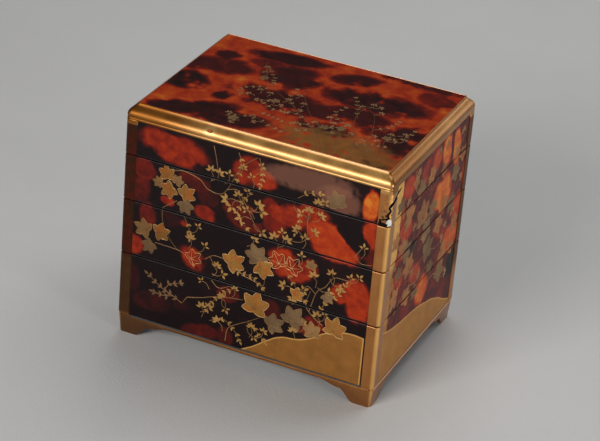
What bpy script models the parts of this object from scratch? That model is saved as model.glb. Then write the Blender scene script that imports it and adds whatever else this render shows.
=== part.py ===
"""Tiered food box: three stacked lacquered tiers under a lift-off lid, on low bracket feet.

Metres, +Z up. The origin is the middle of the rectangle that the feet stand on.
The front faces -Y. Every piece is a loft of rings: rounded rectangles whose corner
posts stand a little proud of the panels between them.
"""

import math

import bmesh
import bpy
from mathutils import Vector

# Plan of the stack, over the corner posts
WIDTH = 0.1480
DEPTH = 0.1118

# Heights of the carcases, without the lips that reach up into the next piece
FOOT_HEIGHT = 0.0106
BOTTOM_HEIGHT = 0.0375
MIDDLE_HEIGHT = 0.0312
TOP_HEIGHT = 0.0257
LID_HEIGHT = 0.0281

# Boards
WALL = 0.0042
FLOOR_THICKNESS = 0.0032
LID_TOP_THICKNESS = 0.0036

# Lip on each tier, and the gaps of the fit around it
LIP_HEIGHT = 0.0028
LIP_THICKNESS = 0.0018
SIDE_GAP = 0.0003
SEAM_GAP = 0.0003

# Corner posts and edges
POST_WIDTH = 0.0066
POST_RELIEF = 0.00045
POST_SLOPE = 0.0003
POST_RADIUS = 0.0024
PANEL_RADIUS = 0.0010
INNER_RADIUS = 0.0020
EDGE_BEVEL = 0.0005

# Moulding around the lid: a thin fillet, a cove, a rounded ridge and a band, going outward and down
FILLET_WIDTH = 0.0005
FILLET_DROP = 0.0005
COVE_WIDTH = 0.0014
COVE_DROP = 0.0015
COVE_HOLLOW = 0.00015
RIDGE_WIDTH = 0.0027
RIDGE_DROP = 0.0040
RIDGE_LEAN = 0.0017
RIM_BAND = 0.0022

# Apron and bracket feet
APRON_INSET = 0.0003
APRON_GROOVE = 0.0004
FOOT_TAPER = 0.0010
FOOT_TOE = 0.0105
FOOT_SHOULDER = 0.0190
SHOULDER_HEIGHT = 0.0068
APRON_RUN = 0.0120
APRON_CLEARANCE = 0.0092

# Damage at the lid: a chip at the foot of one corner post, a nick in the front rim
CHIP_RADIUS = 0.0045
CHIP_OUTSET = 0.0019
CHIP_RISE = 0.0012
CHIP_UNEVENNESS = 0.10
NICK_PLACE = 0.0470
NICK_WIDTH = 0.0020
NICK_DEPTH = 0.0007

# Fineness of the round stretches, and the angle from which an edge is shaded sharp
CORNER_STEPS = 4
CURVE_STEPS = 5
FOOT_STEPS = 6
SHARP_ANGLE = math.radians(32)

# Colours of the three finishes, linear
TORTOISESHELL_COLOUR = (0.33, 0.055, 0.015, 1.0)
GOLD_COLOUR = (0.62, 0.36, 0.11, 1.0)
BLACK_COLOUR = (0.012, 0.010, 0.010, 1.0)

# Places worked out from the sizes above
RIM_WIDTH = FILLET_WIDTH + COVE_WIDTH + RIDGE_WIDTH
RIM_DROP = FILLET_DROP + COVE_DROP + RIDGE_DROP + RIM_BAND
LEDGE = WALL - LIP_THICKNESS
SKIRT = LEDGE - SIDE_GAP
RECESS_HEIGHT = LIP_HEIGHT + SEAM_GAP
BOTTOM_BASE = FOOT_HEIGHT
MIDDLE_BASE = BOTTOM_BASE + BOTTOM_HEIGHT + SEAM_GAP
TOP_BASE = MIDDLE_BASE + MIDDLE_HEIGHT + SEAM_GAP
LID_BASE = TOP_BASE + TOP_HEIGHT + SEAM_GAP
LID_TOP = LID_BASE + LID_HEIGHT

# Material slots of each piece
TORTOISESHELL = 0
GOLD = 1
BLACK = 2


def clear_scene():
    for item in list(bpy.data.objects):
        bpy.data.objects.remove(item, do_unlink=True)


def lacquer(name, colour, roughness, metallic):
    material = bpy.data.materials.new(name)
    material.use_nodes = True
    shader = material.node_tree.nodes["Principled BSDF"]
    shader.inputs["Base Color"].default_value = colour
    shader.inputs["Roughness"].default_value = roughness
    shader.inputs["Metallic"].default_value = metallic
    material.diffuse_color = colour
    return material


def piece_materials(name):
    """The three finishes of one piece, in the order of its slots."""
    return [
        lacquer(name + "_tortoiseshell", TORTOISESHELL_COLOUR, roughness=0.18, metallic=0.0),
        lacquer(name + "_gold", GOLD_COLOUR, roughness=0.32, metallic=0.9),
        lacquer(name + "_black", BLACK_COLOUR, roughness=0.16, metallic=0.0),
    ]


def corner_points(half_x, half_y, radius, relief):
    """One corner of a ring, counter-clockwise: panel end, post edge, arris, post edge, panel start."""
    step_x = min(WIDTH / 2 - POST_WIDTH, half_x - radius - POST_SLOPE)
    step_y = min(DEPTH / 2 - POST_WIDTH, half_y - radius - POST_SLOPE)
    points = [(half_x - relief, step_y - POST_SLOPE), (half_x, step_y)]
    for step in range(CORNER_STEPS + 1):
        angle = math.pi / 2 * step / CORNER_STEPS
        x = half_x - radius + radius * math.cos(angle)
        y = half_y - radius + radius * math.sin(angle)
        points.append((x, y))
    points += [(step_x, half_y), (step_x - POST_SLOPE, half_y - relief)]
    return points


def ring(inset, z, relief=0.0, radius=POST_RADIUS):
    """A closed ring, counter-clockwise from above, that lies inset from the posts' faces."""
    corner = corner_points(WIDTH / 2 - inset, DEPTH / 2 - inset, radius, relief)
    points = []
    for side_x, side_y in ((1, -1), (1, 1), (-1, 1), (-1, -1)):
        turned = corner if side_x * side_y > 0 else reversed(corner)
        points += [Vector((side_x * x, side_y * y, z)) for x, y in turned]
    return points


def loft(name, rings, finishes):
    """One closed body through the rings, with a flat cap on the first and on the last."""
    shape = bmesh.new()
    rows = [[shape.verts.new(point) for point in row] for row in rings]
    shape.faces.new(list(reversed(rows[0]))).material_index = finishes[0]
    for low, high, finish in zip(rows, rows[1:], finishes):
        for i in range(len(low)):
            j = (i + 1) % len(low)
            face = shape.faces.new((low[i], low[j], high[j], high[i]))
            face.material_index = post_finish(face) if finish == TORTOISESHELL else finish
    shape.faces.new(rows[-1]).material_index = finishes[-1]
    mesh = bpy.data.meshes.new(name)
    shape.to_mesh(mesh)
    shape.free()
    for material in piece_materials(name):
        mesh.materials.append(material)
    piece = bpy.data.objects.new(name, mesh)
    bpy.context.scene.collection.objects.link(piece)
    return piece


def post_finish(face):
    """Gold where an outer face belongs to a corner post, tortoiseshell between the posts."""
    middle = face.calc_center_median()
    near_x = abs(middle.x) > WIDTH / 2 - POST_WIDTH - POST_SLOPE
    near_y = abs(middle.y) > DEPTH / 2 - POST_WIDTH - POST_SLOPE
    return GOLD if near_x and near_y else TORTOISESHELL


def underside_rows(base):
    """The recess that takes the lip below, from the middle outward to the foot of the wall."""
    rows = [ring(SKIRT, base + RECESS_HEIGHT), ring(SKIRT, base)]
    return rows, [BLACK, BLACK]


def outer_wall_rows(base, top):
    """The outside of a wall, with its lower and upper edges taken off."""
    rows = [
        ring(EDGE_BEVEL, base, POST_RELIEF),
        ring(0.0, base + EDGE_BEVEL, POST_RELIEF),
        ring(0.0, top - EDGE_BEVEL, POST_RELIEF),
        ring(EDGE_BEVEL, top, POST_RELIEF),
    ]
    return rows, [TORTOISESHELL, TORTOISESHELL, TORTOISESHELL, BLACK]


def lip_and_inside_rows(top, floor_top):
    """The lip, then the inside of the wall down to the floor, whose edge is rounded."""
    crown = top + LIP_HEIGHT
    rows = [
        ring(LEDGE, top),
        ring(LEDGE, crown - EDGE_BEVEL),
        ring(LEDGE + EDGE_BEVEL, crown),
        ring(WALL - EDGE_BEVEL, crown, radius=INNER_RADIUS),
        ring(WALL, crown - EDGE_BEVEL, radius=INNER_RADIUS),
        ring(WALL, floor_top + EDGE_BEVEL, radius=INNER_RADIUS),
        ring(WALL + EDGE_BEVEL, floor_top, radius=INNER_RADIUS),
    ]
    return rows, [BLACK] * len(rows)


def joined(*stretches):
    """Rings and finishes of several stretches of a profile, one after the other."""
    rings = [row for rows, _ in stretches for row in rows]
    finishes = [finish for _, marks in stretches for finish in marks]
    return rings, finishes


def tier(name, base, height):
    """A plain tier: walls, a raised floor over the recess, and a lip."""
    top = base + height
    rings, finishes = joined(
        underside_rows(base),
        outer_wall_rows(base, top),
        lip_and_inside_rows(top, base + RECESS_HEIGHT + FLOOR_THICKNESS),
    )
    return loft(name, rings, finishes)


def rim_profile():
    """(inset, drop) of the lid's moulding, from the band at its foot up to the top panel."""
    profile = [(0.0, RIM_DROP)]
    ridge_top = FILLET_DROP + COVE_DROP
    for step in range(CURVE_STEPS + 1):
        rise = step / CURVE_STEPS
        inset = RIDGE_WIDTH * rise ** 2
        lean = 2 * rise * (1 - rise) * RIDGE_LEAN
        profile.append((inset, ridge_top + lean + RIDGE_DROP * (1 - rise) ** 2))
    cove_length = math.hypot(COVE_WIDTH, COVE_DROP)
    for step in range(1, CURVE_STEPS + 1):
        rise = step / CURVE_STEPS
        hollow = COVE_HOLLOW * 4 * rise * (1 - rise) / cove_length
        inset = RIDGE_WIDTH + COVE_WIDTH * rise + COVE_DROP * hollow
        profile.append((inset, ridge_top - COVE_DROP * rise + COVE_WIDTH * hollow))
    profile.append((RIM_WIDTH, 0.0))
    return profile


def rim_ring(inset, drop):
    """A ring of the moulding, whose corners grow sharper towards the panel."""
    radius = POST_RADIUS + (PANEL_RADIUS - POST_RADIUS) * inset / RIM_WIDTH
    return ring(inset, LID_TOP - drop, radius=radius)


def ceiling_rows():
    """The lid's inside: a flat ceiling, a cove that follows the rim, and the wall."""
    rows = []
    for step in range(CURVE_STEPS + 1):
        angle = math.pi / 2 * step / CURVE_STEPS
        inset = WALL + RIM_WIDTH * math.cos(angle)
        drop = LID_TOP_THICKNESS + (RIM_DROP - LID_TOP_THICKNESS) * math.sin(angle)
        rows.append(ring(inset, LID_TOP - drop, radius=INNER_RADIUS))
    rows.append(ring(WALL, LID_BASE + RECESS_HEIGHT, radius=INNER_RADIUS))
    return rows, [BLACK] * len(rows)


def lid_outside_rows():
    """The lid's outer wall and, above it, the moulded rim up to the top panel."""
    rows = [
        ring(EDGE_BEVEL, LID_BASE, POST_RELIEF),
        ring(0.0, LID_BASE + EDGE_BEVEL, POST_RELIEF),
        ring(0.0, LID_TOP - RIM_DROP - POST_SLOPE, POST_RELIEF),
    ]
    finishes = [TORTOISESHELL, TORTOISESHELL, GOLD]
    for inset, drop in rim_profile():
        rows.append(rim_ring(inset, drop))
        finishes.append(GOLD)
    finishes[-1] = TORTOISESHELL
    return rows, finishes


def lid():
    rings, finishes = joined(ceiling_rows(), underside_rows(LID_BASE), lid_outside_rows())
    return loft("lid", rings, finishes)


def base_rows():
    """The space under the floor, the feet's soles, and their tapered outer faces."""
    rows = [
        ring(WALL, FOOT_HEIGHT),
        ring(WALL, 0.0),
        ring(FOOT_TAPER, 0.0),
        ring(APRON_INSET, APRON_CLEARANCE),
        ring(APRON_INSET, FOOT_HEIGHT - APRON_GROOVE),
        ring(APRON_INSET + APRON_GROOVE, FOOT_HEIGHT),
    ]
    return rows, [BLACK, GOLD, GOLD, GOLD, GOLD, GOLD]


def bottom_tier():
    top = BOTTOM_BASE + BOTTOM_HEIGHT
    rings, finishes = joined(
        base_rows(),
        outer_wall_rows(BOTTOM_BASE + EDGE_BEVEL, top),
        lip_and_inside_rows(top, BOTTOM_BASE + FLOOR_THICKNESS),
    )
    piece = loft("bottom_tier", rings, finishes)
    cut(piece, foot_cutter("front_feet_cutter", WIDTH, DEPTH, turned=False))
    cut(piece, foot_cutter("side_feet_cutter", DEPTH, WIDTH, turned=True))
    return piece


def foot_outline(length):
    """Half of the opening between two feet, from the middle of the side to below the toe."""
    half = length / 2
    apron_end = half - FOOT_SHOULDER - APRON_RUN
    stretches = (
        (apron_end, half - FOOT_SHOULDER, APRON_CLEARANCE, SHOULDER_HEIGHT),
        (half - FOOT_SHOULDER, half - FOOT_TOE, SHOULDER_HEIGHT, 0.0),
    )
    points = []
    for start, end, high, low in stretches:
        for step in range(FOOT_STEPS):
            share = step / FOOT_STEPS
            fall = (1 - math.cos(math.pi * share)) / 2
            points.append((start + (end - start) * share, high + (low - high) * fall))
    points.append((half - FOOT_TOE, 0.0))
    points.append((half - FOOT_TOE, -FOOT_HEIGHT))
    return points


def foot_cutter(name, length, across, turned):
    """A prism that opens the skirt between the feet of two facing sides."""
    right = foot_outline(length)
    outline = [(-x, z) for x, z in reversed(right)] + right
    reach = across / 2 + WALL
    shape = bmesh.new()
    ends = []
    for side in (reach, -reach) if turned else (-reach, reach):
        ends.append([shape.verts.new((side, x, z) if turned else (x, side, z)) for x, z in outline])
    front, back = ends
    shape.faces.new(front)
    shape.faces.new(list(reversed(back)))
    for i in range(len(outline)):
        j = (i + 1) % len(outline)
        shape.faces.new((front[j], front[i], back[i], back[j]))
    return cutter_object(name, shape)


def cutter_object(name, shape):
    """A hidden wire object that only cuts."""
    bmesh.ops.recalc_face_normals(shape, faces=shape.faces)
    mesh = bpy.data.meshes.new(name)
    shape.to_mesh(mesh)
    shape.free()
    cutter = bpy.data.objects.new(name, mesh)
    cutter.hide_render = True
    cutter.display_type = "WIRE"
    bpy.context.scene.collection.objects.link(cutter)
    return cutter


def cut(piece, cutter):
    boolean = piece.modifiers.new(cutter.name, "BOOLEAN")
    boolean.operation = "DIFFERENCE"
    boolean.solver = "EXACT"
    boolean.object = cutter


def chip_cutter():
    """A broken-off splinter at the foot of the lid's front right post."""
    place = Vector((WIDTH / 2 + CHIP_OUTSET, -DEPTH / 2 - CHIP_OUTSET, LID_BASE + CHIP_RISE))
    shape = bmesh.new()
    bmesh.ops.create_icosphere(shape, subdivisions=2, radius=CHIP_RADIUS)
    for vertex in shape.verts:
        direction = vertex.co.normalized()
        uneven = 1 + CHIP_UNEVENNESS * math.sin(7 * direction.x + 4 * direction.z)
        vertex.co = place + vertex.co * uneven
    return cutter_object("chip_cutter", shape)


def nick_cutter():
    """A small dent across the ridge of the front rim."""
    ridge_z = LID_TOP - FILLET_DROP - COVE_DROP
    place = Vector((NICK_PLACE - WIDTH / 2, RIDGE_WIDTH - DEPTH / 2, ridge_z))
    shape = bmesh.new()
    bmesh.ops.create_icosphere(shape, subdivisions=1, radius=1.0)
    for vertex in shape.verts:
        vertex.co = place + Vector((
            vertex.co.x * NICK_WIDTH / 2,
            vertex.co.y * RIDGE_WIDTH / 2,
            vertex.co.z * NICK_DEPTH,
        ))
    return cutter_object("nick_cutter", shape)


def shade_round(piece):
    """Smooth shading on the round stretches, sharp along the mitres and edges."""
    piece.data.shade_smooth()
    piece.data.set_sharp_from_angle(angle=SHARP_ANGLE)


def build():
    clear_scene()
    lid_piece = lid()
    cut(lid_piece, chip_cutter())
    cut(lid_piece, nick_cutter())
    pieces = [
        lid_piece,
        tier("top_tier", TOP_BASE, TOP_HEIGHT),
        tier("middle_tier", MIDDLE_BASE, MIDDLE_HEIGHT),
        bottom_tier(),
    ]
    for piece in pieces:
        shade_round(piece)


build()
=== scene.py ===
"""Looks of the tiered food box: lacquer, gold, raised gold plants, old damage and the stage around it.

Metres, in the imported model's frame: the front faces -Y and the feet stand on Z 0. The
decoration is drawn in millimetres on each panel of the box, across from the panel's middle
and up from the floor (on the lid's top, back from its middle), and it scales with the box.
"""

import math
import random

import bmesh
import bpy
from mathutils import Matrix, Vector


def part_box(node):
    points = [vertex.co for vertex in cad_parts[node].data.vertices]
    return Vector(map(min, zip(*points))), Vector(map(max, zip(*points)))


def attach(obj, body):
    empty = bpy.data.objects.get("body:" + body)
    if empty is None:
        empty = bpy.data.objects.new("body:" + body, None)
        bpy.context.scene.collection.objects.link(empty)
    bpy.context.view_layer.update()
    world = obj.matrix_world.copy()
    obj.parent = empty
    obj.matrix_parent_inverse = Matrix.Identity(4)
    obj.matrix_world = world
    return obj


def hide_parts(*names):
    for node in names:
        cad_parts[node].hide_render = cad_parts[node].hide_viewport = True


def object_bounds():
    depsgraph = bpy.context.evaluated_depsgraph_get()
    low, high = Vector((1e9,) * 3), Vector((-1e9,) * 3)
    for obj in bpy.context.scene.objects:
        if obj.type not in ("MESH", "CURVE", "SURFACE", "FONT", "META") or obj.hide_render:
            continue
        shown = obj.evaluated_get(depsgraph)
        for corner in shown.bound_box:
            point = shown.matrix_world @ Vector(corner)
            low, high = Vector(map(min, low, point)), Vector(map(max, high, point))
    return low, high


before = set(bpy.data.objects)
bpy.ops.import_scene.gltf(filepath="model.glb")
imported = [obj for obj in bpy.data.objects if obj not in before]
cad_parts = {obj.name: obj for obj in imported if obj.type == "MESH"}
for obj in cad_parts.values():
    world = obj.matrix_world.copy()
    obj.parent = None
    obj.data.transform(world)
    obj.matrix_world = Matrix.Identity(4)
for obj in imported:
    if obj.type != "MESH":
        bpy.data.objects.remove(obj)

# The box as the frame has it
CAD_LOW, CAD_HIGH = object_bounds()
WIDTH = CAD_HIGH.x - CAD_LOW.x
DEPTH = CAD_HIGH.y - CAD_LOW.y
LID_TOP = CAD_HIGH.z
LID_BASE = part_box("lid")[0].z
TOP_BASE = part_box("top_tier")[0].z
MIDDLE_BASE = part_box("middle_tier")[0].z

# The size that the decoration was drawn at, and metres to its millimetres
DRAWN_WIDTH = 148
DRAWN_DEPTH = 111.8
DRAWN_HEIGHT = 134
ACROSS_SCALE = WIDTH / DRAWN_WIDTH
BACK_SCALE = DEPTH / DRAWN_DEPTH
UP_SCALE = LID_TOP / DRAWN_HEIGHT

# Boards, and the fit of the lips
WALL = 0.0042
FLOOR_THICKNESS = 0.0032
LID_TOP_THICKNESS = 0.0036
LIP_HEIGHT = 0.0028
LIP_THICKNESS = 0.0018
SIDE_GAP = 0.0003
SEAM_GAP = 0.0003
LEDGE = WALL - LIP_THICKNESS
SKIRT = LEDGE - SIDE_GAP
RECESS_HEIGHT = LIP_HEIGHT + SEAM_GAP
TOP_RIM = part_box("top_tier")[1].z - LIP_HEIGHT
MIDDLE_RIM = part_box("middle_tier")[1].z - LIP_HEIGHT
BOTTOM_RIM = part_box("bottom_tier")[1].z - LIP_HEIGHT

# Corner posts and edges
POST_WIDTH = 0.0066
POST_RELIEF = 0.00045
POST_SLOPE = 0.0003
POST_RADIUS = 0.0024
PANEL_RADIUS = 0.0010
INNER_RADIUS = 0.0020
EDGE_RADIUS = 0.0005
FOOT_EDGE_RADIUS = 0.0008
FLAT_START = 0.00015

# Moulding around the lid, and how far the top panel lies below it
FILLET_WIDTH = 0.0005
FILLET_DROP = 0.0005
COVE_WIDTH = 0.0014
COVE_DROP = 0.0015
COVE_HOLLOW = 0.00015
RIDGE_WIDTH = 0.0027
RIDGE_DROP = 0.0040
RIDGE_LEAN = 0.0017
RIM_BAND = 0.0022
BEAD_HEIGHT = 0.0011
BEAD_GROOVE = 0.00020
BEAD_FULLNESS = 0.6
RIM_WIDTH = FILLET_WIDTH + COVE_WIDTH + RIDGE_WIDTH
RIM_DROP = FILLET_DROP + COVE_DROP + RIDGE_DROP + RIM_BAND
PANEL_DROP = 0.00014
PANEL_STEP = 0.00006

# Apron and bracket feet
FOOT_HEIGHT = 0.0106
APRON_INSET = 0.0003
APRON_GROOVE = 0.0004
FOOT_TAPER = 0.0010
FOOT_TOE = 0.0105
FOOT_SHOULDER = 0.0190
SHOULDER_HEIGHT = 0.0068
APRON_RUN = 0.0120
APRON_CLEARANCE = 0.0092
FOOT_BEVEL = 0.00018

# Damage on the lid
CHIP_RADIUS = 0.0045
CHIP_OUTSET = 0.0019
CHIP_RISE = 0.0012
CHIP_UNEVENNESS = 0.10
NICK_PLACE = 0.0470
NICK_INSET = 0.0011
NICK_DROP = 0.0031
NICK_WIDTH = 0.0034
NICK_HEIGHT = 0.0021
NICK_DEPTH = 0.0009
NICK_UNEVENNESS = 0.15

# In the drawing's millimetres: the pale ground in the chip, the flaked gold beside the crack, and the nick,
# ringed by a painted highlight
PALE_SPOT = (73.6, -54.6, 108.6)
FLAKED_PLACE = (73.2, -54.6, 114.5)
NICK_GLINT_PLACE = (-27, -54.8, 130.9)

# The crack over the lid's front right corner: places in the drawing's millimetres, and half its width there
CRACK_PATH = (
    (73.9, -42.5, 123.4, 0.2), (73.9, -45.2, 122.4, 0.85), (74, -48.6, 121.8, 1.15), (74, -52, 119.8, 1.25),
    (73.6, -55, 118.2, 1), (72.9, -55.8, 116.4, 0.75), (73.6, -55.3, 114.6, 0.85), (72.3, -55.9, 112.6, 0.8),
    (73, -55.7, 110.8, 0.7), (71.2, -55.9, 109.4, 0.4),
)

# How many sides the groove of the crack has, and the way that the lid's corner faces there
CRACK_SIDES = 6
CRACK_FACING = Vector((0.3, -0.9, 0.3))

# Metres to a millimetre of the crack's half width, least and most
CRACK_SPREAD = (0.0008, 0.0012)

# The flakes lost around the crack's lower end, in the drawing's millimetres, and their radii in metres
FLAKE_COUNT = 14
FLAKES_ACROSS = (67.9, 73)
FLAKES_UP = (106.6, 113)
FLAKE_FACE = -55.9
FLAKE_RADIUS = (0.00022, 0.00062)
LAST_FLAKE = (69.9, -56.1, 106.6)
LAST_FLAKE_RADII = (0.0028, 0.0010, 0.0016)

# Fineness
CORNER_STEPS = 10
STRAIGHT_STEPS = 20
SLOPE_STEPS = 3
BEAD_STEPS = 8
EDGE_STEPS = 4
CURVE_STEPS = 14
FOOT_STEPS = 14
SHARP_ANGLE = math.radians(30)

# Height of the raised gold above a panel, and how deep its edges are bedded, in millimetres
GOLD_LIFT = 0.09
GOLD_BED = 0.02

# Camera, as the photograph was taken
CAMERA_PLACE = Vector((0.4249, -1.0165, 0.6555))
CAMERA_TARGET = Vector((0.0030, 0, 0.0636))
CAMERA_ROLL = math.radians(4.9)
CAMERA_LENS = 142

# How far the side panels reach from their middles in the drawing's millimetres
WIDE_REACH = DRAWN_WIDTH / 2 - (POST_WIDTH + POST_SLOPE) / ACROSS_SCALE
DEEP_REACH = DRAWN_DEPTH / 2 - (POST_WIDTH + POST_SLOPE) / BACK_SCALE

# What a row of a piece is finished with, where it doesn't depend on the side
SHELL = "shell"
GOLD = "gold"
BLACK = "black"
# The lower edges of walls, painted dark as shade in the seams
SEAM_SHADE = "seam"


def linear(red, green, blue):
    """A display colour from 0 to 255 as a linear colour with alpha."""
    shares = [value / 255 for value in (red, green, blue)]
    return tuple(s / 12.92 if s <= 0.04045 else ((s + 0.055) / 1.055) ** 2.4 for s in shares) + (1,)


class Value:
    """A socket in a graph. Its sums, differences, products and quotients are nodes of that graph."""

    def __init__(self, graph, socket):
        self.graph = graph
        self.socket = socket

    def __add__(self, other):
        return self.graph.number("ADD", self, other)

    def __sub__(self, other):
        return self.graph.number("SUBTRACT", self, other)

    def __rsub__(self, other):
        return self.graph.number("SUBTRACT", other, self)

    def __mul__(self, other):
        return self.graph.number("MULTIPLY", self, other)

    def __truediv__(self, other):
        return self.graph.number("DIVIDE", self, other)


class Graph:
    """The nodes of one material, added a call at a time. An input is a number, a tuple or a Value."""

    def __init__(self, name):
        self.material = bpy.data.materials.new(name)
        self.material.use_nodes = True
        self.tree = self.material.node_tree
        self.shader = self.tree.nodes["Principled BSDF"]

    def add(self, kind, **settings):
        node = self.tree.nodes.new("ShaderNode" + kind)
        for name, value in settings.items():
            setattr(node, name, value)
        return node

    def feed(self, socket, value):
        if isinstance(value, Value):
            self.tree.links.new(value.socket, socket)
        else:
            socket.default_value = value

    def feed_named(self, node, output=0, **values):
        """The node's output, after its inputs of these names, with _ for a space, were fed."""
        for name, value in values.items():
            self.feed(node.inputs[name.replace("_", " ")], value)
        return Value(self, node.outputs[output])

    def fed(self, node, *values, output=0):
        """The node's output, after its first inputs were fed."""
        for socket, value in zip(node.inputs, values):
            self.feed(socket, value)
        return Value(self, node.outputs[output])

    def number(self, operation, *values):
        return self.fed(self.add("Math", operation=operation), *values)

    def vector(self, operation, *values):
        output = "Value" if operation in ("LENGTH", "DISTANCE") else "Vector"
        return self.fed(self.add("VectorMath", operation=operation), *values, output=output)

    def parts(self, vector):
        node = self.add("SeparateXYZ")
        return [self.fed(node, vector, output=axis) for axis in "XYZ"]

    def joined(self, x, y, z=0):
        return self.fed(self.add("CombineXYZ"), x, y, z)

    def noise(self, place, size, detail=2, roughness=0.5, output=0):
        """A noise whose features are about size millimetres. Its output 1 has a noise for each axis."""
        return self.feed_named(self.add("TexNoise"), output, Vector=place, Scale=1 / size, Detail=detail,
                               Roughness=roughness)

    def step(self, value, start, end, low=0, high=1):
        """A smooth step from low at start to high at end."""
        return self.fed(self.add("MapRange", interpolation_type="SMOOTHSTEP"), value, start, end, low, high)

    def mix(self, share, low, high):
        node = self.add("Mix", data_type="RGBA")
        for index, value in ((0, share), (6, low), (7, high)):
            self.feed(node.inputs[index], value)
        return Value(self, node.outputs[2])

    def ramp(self, value, stops):
        node = self.add("ValToRGB")
        ramp = node.color_ramp
        while len(ramp.elements) < len(stops):
            ramp.elements.new(1)
        for element, (place, colour) in zip(ramp.elements, stops):
            element.position = place
            element.color = colour
        return self.fed(node, value)

    def curve(self, value, points):
        """A number read from a smooth curve through points, each from 0 to 1 both ways."""
        node = self.add("FloatCurve")
        line = node.mapping.curves[0]
        for index, (x, y) in enumerate(points):
            if index < 2:
                line.points[index].location = (x, y)
            else:
                line.points.new(x, y)
        node.mapping.update()
        return self.feed_named(node, Value=value)

    def bump(self, height, depth, **below):
        """A normal from a height from 0 to 1 that stands for depth millimetres."""
        return self.feed_named(self.add("Bump"), Height=height, Distance=depth * 0.001, **below)

    def drawn_place(self):
        """The place on the box in the drawing's millimetres."""
        place = Value(self, self.add("TexCoord").outputs["Object"])
        return self.vector("MULTIPLY", place, (1 / ACROSS_SCALE, 1 / BACK_SCALE, 1 / UP_SCALE))

    def finish(self, **inputs):
        self.feed_named(self.shader, **inputs)
        return self.material


# Tortoiseshell lacquer from its darkest patches to its clearest amber
SHELL_COLOURS = (
    (0, linear(12, 8, 9)),
    (0.2, linear(25, 11, 12)),
    (0.38, linear(62, 16, 13)),
    (0.54, linear(106, 25, 13)),
    (0.7, linear(148, 44, 15)),
    (0.86, linear(168, 68, 20)),
    (1, linear(186, 106, 34)),
)

# Patches: across, up, half width, half height, tilt in degrees, and how clear the middle is from 0 to 1
FRONT_CLEARNESS = 0.10
FRONT_PATCHES = (
    (-46, 115.8, 19, 8.8, -9, 0.585), (-4, 115, 8, 8.5, -30, 0.56), (4, 112.6, 8, 5.4, -14, 0.64),
    (63, 114.5, 4.2, 9.6, -8, 0.92), (47, 113.5, 9, 8, -20, 0.28), (30, 118, 18, 7, 4, 0.17),
    (-63.5, 99.5, 9, 6, 8, 0.46), (-65, 88.5, 7, 9, 0, 0.4), (-26, 84.8, 6.6, 4.2, -8, 0.56),
    (-48, 85, 4, 2.6, 0, 0.58), (-33, 100.5, 9, 4.6, -12, 0.4), (-25, 94, 6.5, 5, 0, 0.3),
    (12.5, 94, 8, 11, 10, 0.5), (19.5, 96.6, 12, 7, -4, 0.6), (33, 102, 9, 4.2, 0, 0.6),
    (42.5, 89.8, 14.5, 8.6, -34, 0.72), (47, 84, 13, 6, -8, 0.7), (65, 98.5, 5, 8, 10, 0.66),
    (66, 87, 4, 6, 0, 0.42), (-5, 89, 11.5, 7.4, -24, 0.42), (55.5, 95, 12, 5.6, -40, 0.05),
    (2.5, 90.5, 3.2, 3.4, 0, 0.06), (-66.5, 55, 6, 6, 0, 0.6), (-59, 74.5, 5, 6.5, -10, 0.44),
    (-31.5, 57, 8.6, 5.8, -28, 0.6), (19, 69.5, 9, 8.4, -20, 0.64), (27, 66.5, 8.6, 6.2, 24, 0.6),
    (60.5, 60, 7.6, 13, 12, 0.66), (52, 61.5, 6.5, 6, -30, 0.62), (-37, 75.5, 3.6, 2.4, 0, 0.58),
    (-46, 76, 6, 5, 0, 0.24), (34, 71, 4.5, 5, 0, 0.5), (-25, 14.5, 11, 4.6, 10, 0.39),
    (-10.8, 16, 4.2, 6, 20, 0.36), (-54, 24, 12, 6, 0, 0.26), (-10.4, 41.5, 6, 5, 0, 0.4),
    (36.5, 38, 7, 6, 0, 0.48), (13, 40, 7, 6, 0, 0.34), (-66, 35, 4, 9, 0, 0.26),
)
RIGHT_CLEARNESS = 0.40
RIGHT_PATCHES = (
    (-31.5, 117, 8, 6, -20, 0.7), (-40, 104, 6, 7, 0, 0.66), (-9, 118, 7, 5.5, 0, 0.58),
    (5, 117, 6, 6.5, 20, 0.74), (19.5, 117, 6.2, 9, 14, 0.92), (33.5, 113.5, 5.6, 11, 10, 0.94),
    (50, 114, 9, 13, 0, 0.14), (26.5, 117, 1.8, 9, 12, 0.16), (-20, 117, 2.6, 8, 20, 0.18),
    (4, 106.5, 13, 3.4, -4, 0.14), (-31, 93, 9, 6, -15, 0.7), (19, 91.5, 12, 10.5, -30, 0.93),
    (43, 98, 5, 8, 0, 0.2), (53, 92, 6, 10, 0, 0.76), (8.5, 81.5, 7, 4, 0, 0.14), (45, 74, 9, 7, 0, 0.74),
    (40, 56.5, 12, 8, -14, 0.84), (21, 70.5, 10, 5, -20, 0.6), (-11, 59, 9, 5.5, -25, 0.66),
    (-34, 66, 8, 7.5, 0, 0.62), (-38, 79, 9, 4, 0, 0.62), (2, 42.5, 9, 8.5, -25, 0.88),
    (47, 39, 12, 9, 0, 0.12), (-21, 78, 8, 5, 0, 0.22),
)
TOP_CLEARNESS = 0.74
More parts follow.
